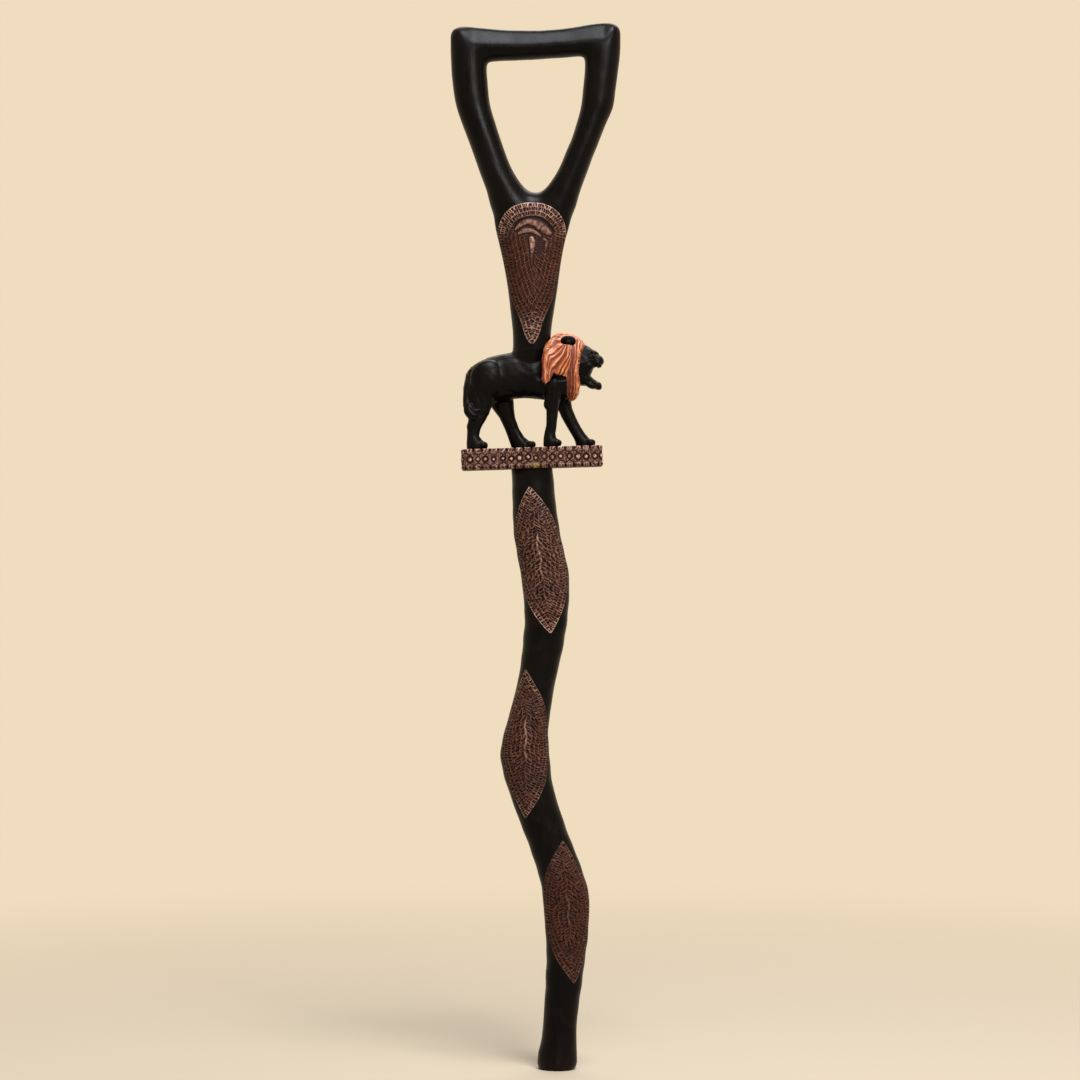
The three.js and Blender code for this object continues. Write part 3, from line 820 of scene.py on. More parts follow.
body_lumps = [
    ((-60.5, -11.2, 602.5), (15.5, 8.6, 17.0), 8),
    ((-54.0, 9.6, 603.5), (12.5, 7.6, 14.0), 12),
    ((-3.6, -11.2, 594.6), (7.2, 6.2, 9.6), 0),
    ((1.6, 11.2, 595.6), (7.6, 6.2, 10.0), 0),
    ((-71.6, -3.0, 606.6), (7.4, 6.4, 6.0), 34),
    ((-75.6, -10.0, 561.0), (3.2, 4.2, 5.2), 0),
    ((-64.0, -9.8, 575.0), (5.4, 5.8, 6.4), 0),
    ((-43.6, 9.8, 574.0), (5.4, 5.6, 6.0), 0),
    ((-8.6, -10.6, 581.0), (3.4, 5.0, 5.0), 0),
    ((0.6, 11.4, 582.0), (4.6, 5.6, 6.0), 0),
]
# Each paw's front end and middle line, and each toe's place beside that line and back from that end
paw_fronts = [(-60.6, -10.5), (-18.8, 10.5), (3.6, -10.8), (33.6, 10.6)]
toes = [(-4.5, 1.7), (-1.55, 0.2), (1.55, 0.2), (4.5, 1.7)]
TOE_GAPS = (-3.1, 0, 3.1)
TOE_GROOVE, TOE_GROOVE_WIDTH = 0.75 * MM, 0.55 * MM
# The tail, hung down the near hind leg, and the three locks of its tuft: places and radii along each
tail_path = ((-74, -2, 608.4, 2.8), (-77.8, -5.5, 598, 2.9), (-79.2, -10, 586, 3.0), (-78, -13.5, 576, 3.0))
tuft_paths = [
    [(-78.8, -13.5, 580, 2.2), (-79, -15, 574, 2.3), (-75.6, -16.6, 569, 1.8), (-70.6, -16.8, 567.2, 0.7)],
    [(-77.4, -15, 580, 2.0), (-76.8, -16.8, 574.6, 2.1), (-73, -17.6, 571.2, 1.6), (-68.6, -17.2, 571, 0.7)],
    [
        (-75.8, -14.6, 580, 1.8), (-74.4, -16.4, 576.4, 1.9),
        (-71, -17, 574.2, 1.5), (-67.8, -16.6, 574.8, 0.6),
    ],
]
# The body is rubbed smoother than the rest, from rump to shoulder and above the belly
RUMP, SHOULDER, BELLY = -74 * MM, -4 * MM, 584 * MM
ALL_RUBS, BODY_RUBS = 7, 34
# A nostril and an ear's bowl on each side: each one's place, depth and width
hollows = [((41.2, 1.9, 619.4), 0.9, 0.95), ((11.0, 19.6, 637.0), 1.7, 2.6)]


def plinth_top(x):
    """Height of the plinth's upper face at a place along it, in millimetres."""
    rise = (x - plinth_middle.x / MM) * math.tan(PLINTH_TILT)
    return plinth_middle.z / MM + PLINTH_THICKNESS / MM / 2 / math.cos(PLINTH_TILT) + rise


def lion_shells():
    shells = [
        plain_copy("lion"),
        part_of("handle", JOINT_HEIGHT + JOINT_LAP, keep_above=False, shift=(0, 0, -0.5 * MM)),
        plain_copy("neck_dowel", grow=DOWEL_COVER),
        *(plain_copy(peg, grow=PEG_COVER) for peg in paw_pegs),
    ]
    shells += [lump(*row) for row in head_lumps + body_lumps]
    for (x, y, z), radii, lean in paired_head_lumps:
        shells += [lump((x, side * y, z), radii, lean) for side in (NEAR, FAR)]
    for front, y in paw_fronts:
        floor = plinth_top(front)
        shells += [
            lump((front - 3.0 - back, y + beside, floor + 3.2), (3.7, 1.9, 3.2)) for beside, back in toes
        ]
    shells += lock(tail_path, 20)
    for path in tuft_paths:
        shells += lock(path, 14)
    return shells


def stroke(points, path, width, height, side=0):
    """A rounded groove or ridge along a path seen from the side, as a lift in metres."""
    away, _ = nearest_on(np.array(path, dtype=float) * MM, points[:, [0, 2]])
    lift = height * MM * close_to(away, width * MM)
    if side:
        lift = lift * eased(points[:, 1] * side, 2 * MM, 5 * MM)
    return lift


lion_strokes = [
    (((-46, 614), (-46.0, 606), (-48.6, 597), (-54, 589)), 4.2, -0.70, NEAR),
    (((-42, 614), (-40.2, 606), (-40, 599), (-41, 590)), 4.0, -0.70, FAR),
    (((-44, 592), (-34, 589.6), (-22, 588.4)), 2.0, -0.45, 0),
    (((-14.6, 612), (-14.2, 606), (-12.8, 596), (-8, 588)), 2.6, -0.60, NEAR),
    (((-9.6, 612), (-9.2, 606), (-7.6, 596), (-3, 588)), 2.6, -0.60, FAR),
    (((-70, 590), (-66, 581), (-67, 571)), 1.6, -0.5, NEAR),
    (((-60, 622), (-40, 627), (-20, 629)), 2.2, 0.35, 0),
    (((40.4, 616.4), (36, 613.4), (31, 611.6), (27, 611)), 0.7, -0.45, 0),
    (((33.6, 624.6), (30.8, 625.2), (28.6, 624.0)), 0.6, -0.55, 0),
    (((33.4, 621.2), (30.8, 620.4), (28.8, 621.4)), 0.6, -0.45, 0),
    (((38.0, 624.2), (35.2, 622.4)), 0.7, -0.4, 0),
]


def make_lion():
    piece = one_skin("lion_carving", lion_shells(), LION_GRAIN, ALL_RUBS)
    points, _ = skin_of(piece)
    barrel = (points[:, 0] > RUMP) & (points[:, 0] < SHOULDER) & (points[:, 2] > BELLY)
    rubbed = piece.vertex_groups.new(name="barrel")
    rubbed.add(np.flatnonzero(barrel).tolist(), 1, "REPLACE")
    rub = piece.modifiers.new("rub", "SMOOTH")
    rub.vertex_group, rub.factor, rub.iterations = rubbed.name, 0.5, BODY_RUBS
    made_solid(piece)
    points, _ = skin_of(piece)
    muzzle = eased(points[:, 0], 35 * MM, 43 * MM) * eased(points[:, 2], 609 * MM, 614 * MM)
    points -= np.outer(muzzle, (1.0 * MM, 0, 1.6 * MM))
    drawn_in = eased(points[:, 0], -23 * MM, -10 * MM) * eased(points[:, 2], 599 * MM, 606 * MM)
    points[:, 1] *= 1 - 0.17 * drawn_in * (points[:, 0] < 8 * MM)
    set_points(piece, points)
    for path, width, height, side in lion_strokes:
        points, normals = skin_of(piece)
        lift = stroke(points, path, width, height, side)
        set_points(piece, points + normals * lift[:, None])
    points, normals = skin_of(piece)
    lift = np.zeros(len(points))
    for front, y in paw_fronts:
        floor = plinth_top(front) * MM
        ahead = eased(points[:, 0], (front - 9.5) * MM, (front - 5) * MM)
        ahead *= points[:, 0] < (front + 3) * MM
        low = (points[:, 2] < floor + 8.5 * MM) & (points[:, 2] > floor - 1 * MM) & (points[:, 1] * y > 0)
        for gap in TOE_GAPS:
            groove = close_to(points[:, 1] - (y + gap) * MM, TOE_GROOVE_WIDTH)
            lift -= TOE_GROOVE * groove * ahead * low
    for side in (NEAR, FAR):
        for (x, y, z), depth, width in hollows:
            away = np.linalg.norm(points - np.array([x, side * y, z]) * MM, axis=1)
            lift -= depth * MM * close_to(away, width * MM)
    knife = pared(points[:, 0] * 2.2 + points[:, 2], np.arctan2(points[:, 1], points[:, 2] - 0.6) * 3)
    set_points(piece, points + normals * (lift + knife * 0.45)[:, None])
    sole = PLINTH_THICKNESS / 2 + JOINT_GAP
    cut_away(
        piece,
        box_cutter((-0.06, -0.03, JOINT_HEIGHT - 0.08 * MM), (NECK_FRONT, 0.03, JOINT_HEIGHT + 0.06)),
        box_cutter((-0.1, -0.06, -0.1), (0.1, 0.06, sole), plinth_place),
        plain_copy("neck_dowel", grow=DOWEL_BORE),
        *(plain_copy(peg, grow=PEG_BORE) for peg in paw_pegs),
    )
    dressed(piece, black)
    piece.data.set_sharp_from_angle(angle=math.radians(55))
    keep_value(piece, "wear_and_highlight", 0.5 * eased(convexity(piece), 0.35, 1.1))
    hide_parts("lion")
    return piece


lion = make_lion()

# Mane: a collar of long locks round the head, dyed orange-brown, with the ears coming through it.
# It is fitted over the head, and its locks are cut with a V-gouge from the crown down to their tips.
MANE_GRAIN = 0.5 * MM
MANE_RUBS = 6


def wander(points, wavelength, seed, count=7):
    """A smooth random number at each point, about -1 to 1, that changes over the given length."""
    draw = np.random.default_rng(seed)
    ways = draw.normal(size=(count, 3))
    ways *= 2 * math.pi / wavelength / np.linalg.norm(ways, axis=1, keepdims=True)
    starts = draw.uniform(0, 2 * math.pi, count)
    return np.sin(points @ ways.T + starts).sum(1) / math.sqrt(count)


# Where the locks run, seen from the side: each line goes from the ear or the crown down to a tip,
# with its own number in a count of locks from the back of the collar to the face.
hair_lines = [
    (0.0, [(1.8, 642.4), (-5.9, 637.9), (-11.6, 627.1), (-13.5, 617.6), (-13.7, 606.7), (-12.6, 594)]),
    (1.3, [
        (9.6, 636.6), (-0.8, 631.2), (-6.5, 627.7), (-9.7, 622.6), (-11.2, 615.6), (-11.5, 608), (-11, 594),
    ]),
    (2.6, [(9.6, 636.6), (3.0, 628.1), (-2.4, 622), (-6.2, 615), (-8.4, 608), (-9.7, 594)]),
    (4.0, [(9.6, 636.6), (6.5, 622.6), (1.8, 616.3), (-2.7, 610.6), (-6.5, 602.9), (-7.8, 594)]),
    (5.2, [(10.6, 636.6), (11, 623.3), (8.1, 616.9), (4.3, 610.6), (1.1, 604.8), (-1.4, 594)]),
    (6.6, [
        (12.4, 637), (13.3, 625.2), (12.3, 617.6), (9.7, 609.9), (7.2, 602.9), (6.8, 594), (8.8, 580),
    ]),
    (7.9, [
        (16.7, 642), (16.9, 630.3), (16.4, 620.7), (15.1, 610.6), (13.8, 601.6), (12.6, 592), (11.4, 580),
    ]),
    (9.3, [
        (21.2, 642), (21.2, 630.3), (20.2, 620.7), (19.3, 610.6), (18.9, 601.6), (17.3, 592), (12.4, 580),
    ]),
    (10.8, [
        (26.6, 642), (25.6, 630.3), (23.4, 620.7), (22.1, 610.6), (22.1, 601.6), (20.2, 592), (13.6, 580),
    ]),
]
LOCK_WIDTH = 3.2 * MM
MANE_PARTING = ((12.6, 627), (13.4, 616), (13.9, 605), (13.6, 595), (12.4, 586))
# The face's middle height and radius, for locks that fan round it
FACE_HEIGHT = 0.617
FACE_RADIUS = 17 * MM
# How deep the gouge goes between locks and between the hairs of a lock, in millimetres
LOCK_DEPTH, HAIR_DEPTH = 1.25, 0.20
# Corners of the lion closer than this are made one before it cuts the mane to fit round it
SAME_CORNER = 5e-6


def drawn(path, at):
    """A smooth line through places in millimetres, at counts along those places."""
    return flowing(np.arange(len(path), dtype=float), np.array(path, dtype=float) * MM, at)


def beside_line(points, path):
    """Distance from points to a line, positive on its front side."""
    route = drawn(path, np.linspace(0, len(path) - 1, len(path) * 6))
    distance, _ = nearest_on(route, points)
    step = np.diff(route, axis=0)
    middles = (route[:-1] + route[1:]) / 2
    nearest = np.empty(len(points), dtype=int)
    for first in range(0, len(points), 20000):
        some = points[first : first + 20000, None, :] - middles
        nearest[first : first + 20000] = (some**2).sum(-1).argmin(1)
    off = points - middles[nearest]
    ahead = step[nearest]
    return distance * np.sign(ahead[:, 0] * off[:, 1] - ahead[:, 1] * off[:, 0])


def lock_count(points):
    """Which lock each point is in, with its place across it as the fraction."""
    seen = points[:, [0, 2]]
    beside = [beside_line(seen, path) for _, path in hair_lines]
    count = np.minimum(beside[0], 0) / LOCK_WIDTH + np.maximum(beside[-1], 0) / LOCK_WIDTH
    for here in range(len(hair_lines) - 1):
        behind, ahead = beside[here], beside[here + 1]
        share = np.where(ahead >= 0, 1.0, np.clip(behind / np.maximum(behind - ahead, 1e-9), 0, 1))
        share = np.where(behind <= 0, 0.0, share)
        count = count + (hair_lines[here + 1][0] - hair_lines[here][0]) * share
    return count


def gouged(place, crest, seed):
    """Rounded gouge cuts between narrow crests: how deep, from 0 to 1, and the lock's number."""
    place = place + 0.16 * np.sin(place * 2.1 + seed) + 0.09 * np.sin(place * 4.7 + seed * 2)
    number = np.floor(place)
    beside = np.abs(place - number - 0.5) * 2
    return eased(beside, crest, 0.96), number


def make_mane():
    shells = [plain_copy("mane", grow=size) for size in (1, 0.93, 0.86)]
    piece = one_skin("mane_collar", shells, MANE_GRAIN, MANE_RUBS)
    points, normals = skin_of(piece)
    folded = points * [1, 1, 0.5]
    sway = 0.20 * wander(folded, 10 * MM, 3) + 0.07 * wander(folded, 4.5 * MM, 4)
    turned = np.arctan2(points[:, 1], points[:, 2] - FACE_HEIGHT) * FACE_RADIUS
    facing = eased(normals[:, 0], 0.66, 0.86)
    crown = eased(normals[:, 2], 0.72, 0.92) * (1 - facing)
    fields = [
        (lock_count(points) + sway, 1 - facing - crown, 0),
        (turned / LOCK_WIDTH + sway, facing, 60),
        (points[:, 1] / LOCK_WIDTH + sway, crown, 90),
    ]
    wide, fine, tone, across = np.zeros((4, len(points)))
    quiet = 1 - 0.75 * eased(np.abs(normals[:, 0]), 0.35, 0.70)
    for field, share, first in fields:
        cut, number = gouged(field, 0.22, 1)
        hair, _ = gouged(field * 3.3 + 0.25 * np.sin(points[:, 2] / MM * 0.4 + number), 0.2, 2)
        wide += cut * share
        fine += hair * share
        tone += chance(number + first, 5) * share
        across += (field + first) * share
    meeting = 1 - 0.85 * 4 * facing * (1 - facing)
    wide, fine = wide * meeting, fine * meeting
    parting = stroke(points, MANE_PARTING, 1.1, 1.0) / MM
    wide = np.maximum(wide, parting)
    rear = 1 - eased(points[:, 0], -9 * MM, 0)
    lift = (-LOCK_DEPTH * wide - HAIR_DEPTH * fine - 0.5 * parting) * MM * quiet
    lift += (0.5 * (tone - 0.5) + 0.30 * wander(points, 14 * MM, 6)) * MM * (1 - wide)
    lift += 1.5 * MM * rear * eased(np.abs(points[:, 1]), 6 * MM, 12 * MM)
    set_points(piece, points + normals * lift[:, None])
    keep_value(piece, "cut", np.clip(0.80 * wide + 0.20 * fine, 0, 1))
    keep_value(piece, "lock", tone)
    keep_value(piece, "across", across)
    shell = bmesh.new()
    shell.from_mesh(lion.data)
    bmesh.ops.remove_doubles(shell, verts=shell.verts, dist=SAME_CORNER)
    bmesh.ops.dissolve_degenerate(shell, edges=shell.edges, dist=SAME_CORNER)
    bmesh.ops.triangulate(shell, faces=shell.faces)
    cut_away(piece, shell)
    dressed(piece, mane_dye())
    piece.data.set_sharp_from_angle(angle=math.radians(60))
    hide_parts("mane")


def mane_dye():
    """Orange-brown dye, with pale streaks painted along the locks as highlight, and shade painted dark into
    the gouge cuts.
    """
    material, tree, shader = finish("orange_dyed_mane", 0.42)
    depth = carved_value(tree, "cut")
    lock_tone = carved_value(tree, "lock")
    across = carved_value(tree, "across")
    place = put(tree, "TexCoord").outputs["Object"]
    streak_place = put(tree, "CombineXYZ", across, 0.0, 0.0).outputs[0]
    streak = mottle(tree, streak_place, 6.5, detail=3)
    cloud = mottle(tree, place, 260, detail=4)
    patchy = mottle(tree, place, 110, detail=3)
    warm = blend(tree, lock_tone, dye(166, 79, 39), dye(192, 106, 60))
    # Painted highlight: cream streaks along the locks, shown in patches
    crest = blend(tree, between(tree, streak, 0.42, 0.64), warm, dye(228, 172, 122))
    warm = blend(tree, between(tree, patchy, 0.36, 0.56), warm, crest)
    warm = blend(tree, between(tree, cloud, 0.52, 0.74, 0, 0.6), warm, dye(150, 68, 34))
    # Painted shade: darker the deeper the gouge cut goes
    colour = blend(tree, between(tree, depth, 0.10, 0.50), warm, dye(142, 60, 26))
    colour = blend(tree, between(tree, depth, 0.50, 0.92), colour, dye(80, 28, 12))
    tree.links.new(between(tree, depth, 0.1, 0.8, 0.32, 0.55), shader.inputs["Roughness"])
    coat(tree, shader, colour, streak, 0.25, 0.2)
    return material


make_mane()

# Handle: the forked neck and the grip that closes it into a loop, bent and carved from one block,
# sanded smooth and stained black. It is bored from below for its dowel.
HANDLE_GRAIN = 0.85 * MM
HANDLE_RUBS = 80
# The loop's two upper corners are left squarer than the rest: each one's place, and its pull outwards
HANDLE_CORNERS = [((51, 908), (1.1, 1.0)), ((-89, 905), (-0.9, 0.9))]
CORNER_REACH = 8 * MM
# The top of the grip bar is pared to two long slanting flats, in front of its middle line and behind it
BAR_LINE = [
    (-78, 896.0), (-60, 895.6), (-37, 895.2), (-20, 895.5),
    (-4, 896.3), (14, 897.9), (31, 899.6), (44, 900.5),
]
FLAT_LEAN = math.radians(29)
FLAT_REACH = 11.3 * MM
FLAT_EDGE = 1.1 * MM


def pared_bar(points):
    middle = np.interp(points[:, 0], *(np.array(BAR_LINE) * MM).T)
    on_bar = eased(points[:, 0], -88 * MM, -70 * MM) * (1 - eased(points[:, 0], 40 * MM, 54 * MM))
    on_bar *= eased(points[:, 2], 873 * MM, 880 * MM)
    for side in (NEAR, FAR):
        way = np.array([0, side * math.cos(FLAT_LEAN), math.sin(FLAT_LEAN)])
        out = points[:, 1] * way[1] + (points[:, 2] - middle) * way[2]
        over = FLAT_EDGE * np.logaddexp(0, (out - FLAT_REACH) / FLAT_EDGE)
        points = points - np.outer(over * on_bar, way)
    return points


def make_handle():
    shells = [
        plain_copy("handle"),
        plain_copy("neck_dowel", grow=DOWEL_COVER),
        part_of("lion", JOINT_HEIGHT - JOINT_LAP, keep_above=True, shift=(0, 0, 0.5 * MM)),
    ]
    piece = one_skin("handle_loop", shells, HANDLE_GRAIN, HANDLE_RUBS)
    points, normals = skin_of(piece)
    loop_only = eased(points[:, 2], 0.70, 0.76)
    uneven = pared(points[:, 2] + points[:, 0], np.arctan2(points[:, 1], points[:, 0] + 0.02))
    swell = 0.32 * MM + (0.16 * MM + 0.3 * uneven) * loop_only
    points = points + normals * swell[:, None]
    for corner, pull in HANDLE_CORNERS:
        away = np.hypot(*(points[:, [0, 2]] - np.array(corner) * MM).T)
        points = points + close_to(away, CORNER_REACH)[:, None] * np.array([pull[0], 0, pull[1]]) * MM
    points = pared_bar(points)
    low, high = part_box("handle")
    set_points(piece, np.clip(points, np.array(low) + [1e-5, 1e-5, -1], np.array(high) - 1e-5))
    cut_away(
        piece,
        box_cutter((-0.1, -0.06, 0.5), (0.06, 0.06, JOINT_HEIGHT)),
        box_cutter((NECK_FRONT, -0.06, 0.5), (0.06, 0.06, JOINT_HEIGHT + JOINT_LAP)),
    )
    return piece


handle = make_handle()

# Neck panels: a teardrop cut through the stain on the front of the neck, and one like it behind.
# Three rows of chips follow its edge, round three crescents and a pendant left standing at its top.
NECK_SPINE = -22 * MM
TEAR_ROWS, TEAR_COLUMNS = 300, 141
# Half the teardrop's width round the neck at each height, in millimetres
teardrop = [
    (756.4, 0.5), (755.6, 8.0), (752.6, 16.4), (747.6, 23.0), (742, 28.0), (737, 31.2), (731, 33.0),
    (722, 33.0), (710, 30.8), (698, 28.2), (686, 25.2), (676, 22.0), (669, 19.0), (662, 15.0),
    (656, 11.8), (650, 9.3), (643, 7.2), (638.6, 5.2), (634.6, 2.6), (632.4, 0.5),
]
TEAR_TOP, TEAR_FOOT = teardrop[0][0] * MM, teardrop[-1][0] * MM
tear_line = drawn(teardrop, np.linspace(0, len(teardrop) - 1, 220))
tear_outline = np.concatenate([tear_line[:, ::-1], (tear_line[::-1, ::-1] * [-1, 1])[1:]])


def tear_reach(height):
    return np.interp(height, tear_line[::-1, 0], tear_line[::-1, 1])


def neck_directions(angle, at_back):
    """The level way out from the neck's axis, turned from its front or back towards +X."""
    out = np.stack([np.sin(angle), -np.cos(angle), 0 * angle], axis=-1)
    if at_back:
        out[..., 1] *= -1
    return out


def cast_out(tree, height, angle, at_back):
    """Where lines from the neck's axis come out through its skin."""
    ways = neck_directions(angle, at_back).reshape(-1, 3)
    starts = np.stack([0 * height + NECK_SPINE, 0 * height, height], axis=-1).reshape(-1, 3)
    hits = [tree.ray_cast(Vector(start), Vector(way))[0] for start, way in zip(starts, ways)]
    return np.array(hits).reshape(*height.shape, 3)


def neck_table(tree, at_back):
    """How far round the skin each angle is from the spine, at each height."""
    heights = np.linspace(TEAR_FOOT - 2 * MM, TEAR_TOP + 2 * MM, 64)
    angles = np.radians(np.linspace(-125, 125, 151))
    height, angle = np.meshgrid(heights, angles, indexing="ij")
    skin = cast_out(tree, height, angle, at_back)
    steps = np.linalg.norm(np.diff(skin, axis=1), axis=-1)
    travelled = np.concatenate([np.zeros((len(heights), 1)), np.cumsum(steps, axis=1)], axis=1)
    return heights, angles, travelled - travelled[:, 75:76]


def look_up(table, heights, height):
    """Rows of a table between its own heights."""
    place = np.clip(np.interp(height, heights, np.arange(len(heights))), 0, len(heights) - 1.001)
    row = place.astype(int)
    share = (place - row)[..., None]
    return table[row] * (1 - share) + table[row + 1] * share


# Pendant and crescents: each a line of places across and up the neck, and half its width along it
pendant = (
    ((-0.4, 724.4), (0.4, 720.8), (0.2, 716.3), (0.0, 711.8), (-0.3, 706), (-0.2, 701.4)),
    (3.0, 3.6, 2.3, 1.7, 1.3, 0.8),
)
crescents = [
    (
        (
            (-14.4, 732.6), (-12, 735.0), (-8.5, 737.7), (-4, 739.2),
            (1.5, 738.2), (6.6, 735.6), (11.6, 732.1), (15.6, 729.4),
        ),
        (1.1, 2.1, 2.7, 3.0, 3.5, 4.5, 4.9, 3.0),
    ),
    (
        ((-11.6, 729.2), (-7.2, 731.4), (-2.0, 731.6), (2.4, 730.2), (7.2, 727.2)),
        (1.5, 2.9, 2.5, 2.0, 1.4),
    ),
    (((10.8, 724.4), (13.2, 721.8), (12.4, 717.6), (11.6, 713.4)), (1.5, 2.0, 1.4, 0.8)),
]
# Nicks that scallop the big crescent's lower edge
nicks_below = [(-3.4, 736.0), (1.6, 734.4), (6.8, 731.0), (10.6, 727.6)]
# The groove over the crescents, and the smooth bed beside the pendant
arch_groove = (
    (
        (-16, 733.6), (-12.4, 739.2), (-6.5, 742.3), (-1, 743.4),
        (4.5, 743.0), (11.5, 739.8), (17.4, 734.4), (20, 730.4),
    ),
    (0.5, 1.0, 1.1, 1.1, 1.3, 1.4, 1.4, 0.6),
)
pendant_bed = (((5.6, 722.6), (6.8, 719.4), (6.8, 714.5), (5.4, 709.6)), (2.6, 3.4, 3.2, 1.6))
# How far beyond each figure the ground is cleared, in millimetres
CLEARED = 0.7


def figure_height(across, height, path, half_widths):
    """A raised figure's rounded top, 1 on its middle line and 0 at its edge and beyond."""
    places = np.linspace(0, len(path) - 1, 30)
    line = drawn(path, places)
    away, along = nearest_on(line, np.stack([across, height], axis=-1))
    travelled = np.concatenate([[0], np.cumsum(np.hypot(*np.diff(line, axis=0).T))])
    widths = np.interp(places, np.arange(len(path)), half_widths) * MM
    share = away / np.interp(along, travelled, widths)
    return np.sqrt(np.clip(1 - share**2, 0, 1))


def crescent_tops(across, height):
    tops = np.maximum.reduce([figure_height(across, height, *crescent) for crescent in crescents])
    for spot in nicks_below:
        tops *= 1 - close_to(np.hypot(across - spot[0] * MM, height - spot[1] * MM), 1.2 * MM)
    return tops


def neck_cut(across, height, distance, along):
    """How deep the neck panel is cut at each place, from 0 to 1."""
    row = np.floor(distance / CHIP_ROW)
    slant = np.where(row < FRINGE_ROWS, 0.0, 0.9 * np.sign(across))
    chips = wedge_chips(distance, along, 11, slant=slant)
    cleared = [(path, np.array(widths) + CLEARED) for path, widths in (pendant, *crescents)]
    beds = [figure_height(across, height, *figure) for figure in (*cleared, pendant_bed)]
    bed = eased(np.maximum.reduce(beds), 0, 0.4)
    stippled = wedge_chips(height, across, 23, row_width=1.9 * MM, pitch=1.7 * MM)
    smooth = eased(beds[-1], 0, 0.4)
    ground = 0.72 + 0.3 * stippled - 0.16 * smooth
    tops = np.maximum(figure_height(across, height, *pendant), crescent_tops(across, height))
    groove = figure_height(across, height, *arch_groove)
    return np.maximum(chips * (1 - bed) + bed * ground * (1 - tops), groove * (1 - tops))


def make_neck_panel(name, tree, at_back):
    spread = np.linspace(0.002, 0.998, TEAR_ROWS) ** 1.25
    heights = TEAR_TOP - (TEAR_TOP - TEAR_FOOT) * spread
    table_heights, angles, travelled = neck_table(tree, at_back)
    arcs = look_up(travelled, table_heights, heights)

    def skin_grid(shares):
        height, share = np.meshgrid(heights, shares, indexing="ij")
        across = share * tear_reach(height)
        turned = np.array([np.interp(row, arc, angles) for row, arc in zip(across, arcs)])
        skin = cast_out(tree, height, turned, at_back)
        ways = np.cross(np.gradient(skin, axis=1), np.gradient(skin, axis=0))
        ways /= np.linalg.norm(ways, axis=-1, keepdims=True)
        facing = (ways * neck_directions(turned, at_back)).sum(-1, keepdims=True)
        return height, share, across, skin, ways * np.sign(facing)

    height, share, across, skin, ways = skin_grid(np.linspace(-1, 1, TEAR_COLUMNS))
    distance, along = nearest_on(tear_outline, np.stack([across, height], axis=-1))
    cut = neck_cut(across, height, distance, along) * eased(distance, 0.3 * MM, 1.8 * MM)
    proud = 0.08 * MM - CHIP_DEPTH * np.minimum(cut, 1.25)
    top = skin + ways * rim_let_down(proud, share, height)[..., None]
    _, low_share, _, low_skin, low_ways = skin_grid(np.linspace(-1, 1, UNDER_COLUMNS)[1:-1])
    low_reach = (1 - np.abs(low_share)) * tear_reach(heights)[:, None]
    under = low_skin - low_ways * (RIM_SINK + SUNK * eased(low_reach, 0, 3 * MM))[..., None]
    # Painted highlight: paler towards the top of the arch and along its edge there, at the foot and on the
    # pendant's top; a faint even wear, a little more on the crescents' tops
    arch_highlight = eased(height, 722 * MM, 736 * MM) * (0.55 - 0.35 * eased(distance, 5 * MM, 12 * MM))
    arch_highlight += 0.30 * eased(height, 726 * MM, 734 * MM) * (1 - eased(distance, 1.5 * MM, 3.5 * MM))
    foot_highlight = 1 - eased(height, 646 * MM, 664 * MM)
    knob_highlight = figure_height(across, height, *pendant) * eased(height, 706 * MM, 720 * MM)
    wear_and_highlight = 0.03 + arch_highlight + 0.42 * foot_highlight + 0.7 * knob_highlight + 0.14 * crescent_tops(across, height)
    add_panel(name, top, under, cut, wear_and_highlight)


def let_down_neck(piece, tree):
    """Lowers the handle's own skin under both panels."""
    points, normals = skin_of(piece)
    for at_back in (False, True):
        heights, angles, travelled = neck_table(tree, at_back)
        facing = points[:, 1] * (1 if at_back else -1)
        near = (points[:, 2] > TEAR_FOOT) & (points[:, 2] < TEAR_TOP) & (facing > -8 * MM)
        some = points[near]
        turned = np.arctan2(some[:, 0] - NECK_SPINE, facing[near])
        arcs = look_up(travelled, heights, some[:, 2])
        across = np.array([np.interp(turn, angles, arc) for turn, arc in zip(turned, arcs)])
        distance, _ = nearest_on(tear_outline, np.stack([across, some[:, 2]], axis=-1))
        inside = np.abs(across) < tear_reach(some[:, 2])
        points[near] -= normals[near] * (SUNK * eased(distance, LIP, LIP + 0.8 * MM) * inside)[:, None]
    set_points(piece, points)


skin_tree = BVHTree.FromObject(handle, bpy.context.evaluated_depsgraph_get())
make_neck_panel("neck_panel_front", skin_tree, False)
make_neck_panel("neck_panel_back", skin_tree, True)
let_down_neck(handle, skin_tree)
cut_away(handle, plain_copy("neck_dowel", grow=DOWEL_BORE))
dressed(handle, black)
handle.data.set_sharp_from_angle(angle=math.radians(55))
keep_value(handle, "wear_and_highlight", 0.35 * eased(convexity(handle), 0.25, 0.9))
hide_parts("handle")

# Dowels and pegs: fluted rods of bare hardwood with chamfered ends, glued into their bores.
# One holds the handle on the lion, one holds the plinth on the shaft, and four hold the paws.
FLUTE = 0.035
# Each rod's diameter and length in millimetres, its count of flutes, and how far it leans
rods = {
    "neck_dowel": (12, 54, 14, 0.0),
    "shaft_dowel": (12, 53, 14, PLINTH_TILT),
    **dict.fromkeys(reversed(paw_pegs), (4.5, 20, 8, PLINTH_TILT)),
}


def raw_hardwood():
    material, tree, shader = finish("raw_hardwood", 0.62)
    grain = mottle(tree, grained(tree, 0.05), 1300, detail=6)
    rings = mottle(tree, grained(tree, 0.10), 260, detail=3)
    colour = blend(tree, between(tree, rings, 0.35, 0.65), dye(196, 158, 108), dye(168, 126, 80))
    colour = blend(tree, between(tree, grain, 0.52, 0.72), colour, dye(126, 88, 54))
    coat(tree, shader, colour, grain, 0.3, 0.2)
    return material


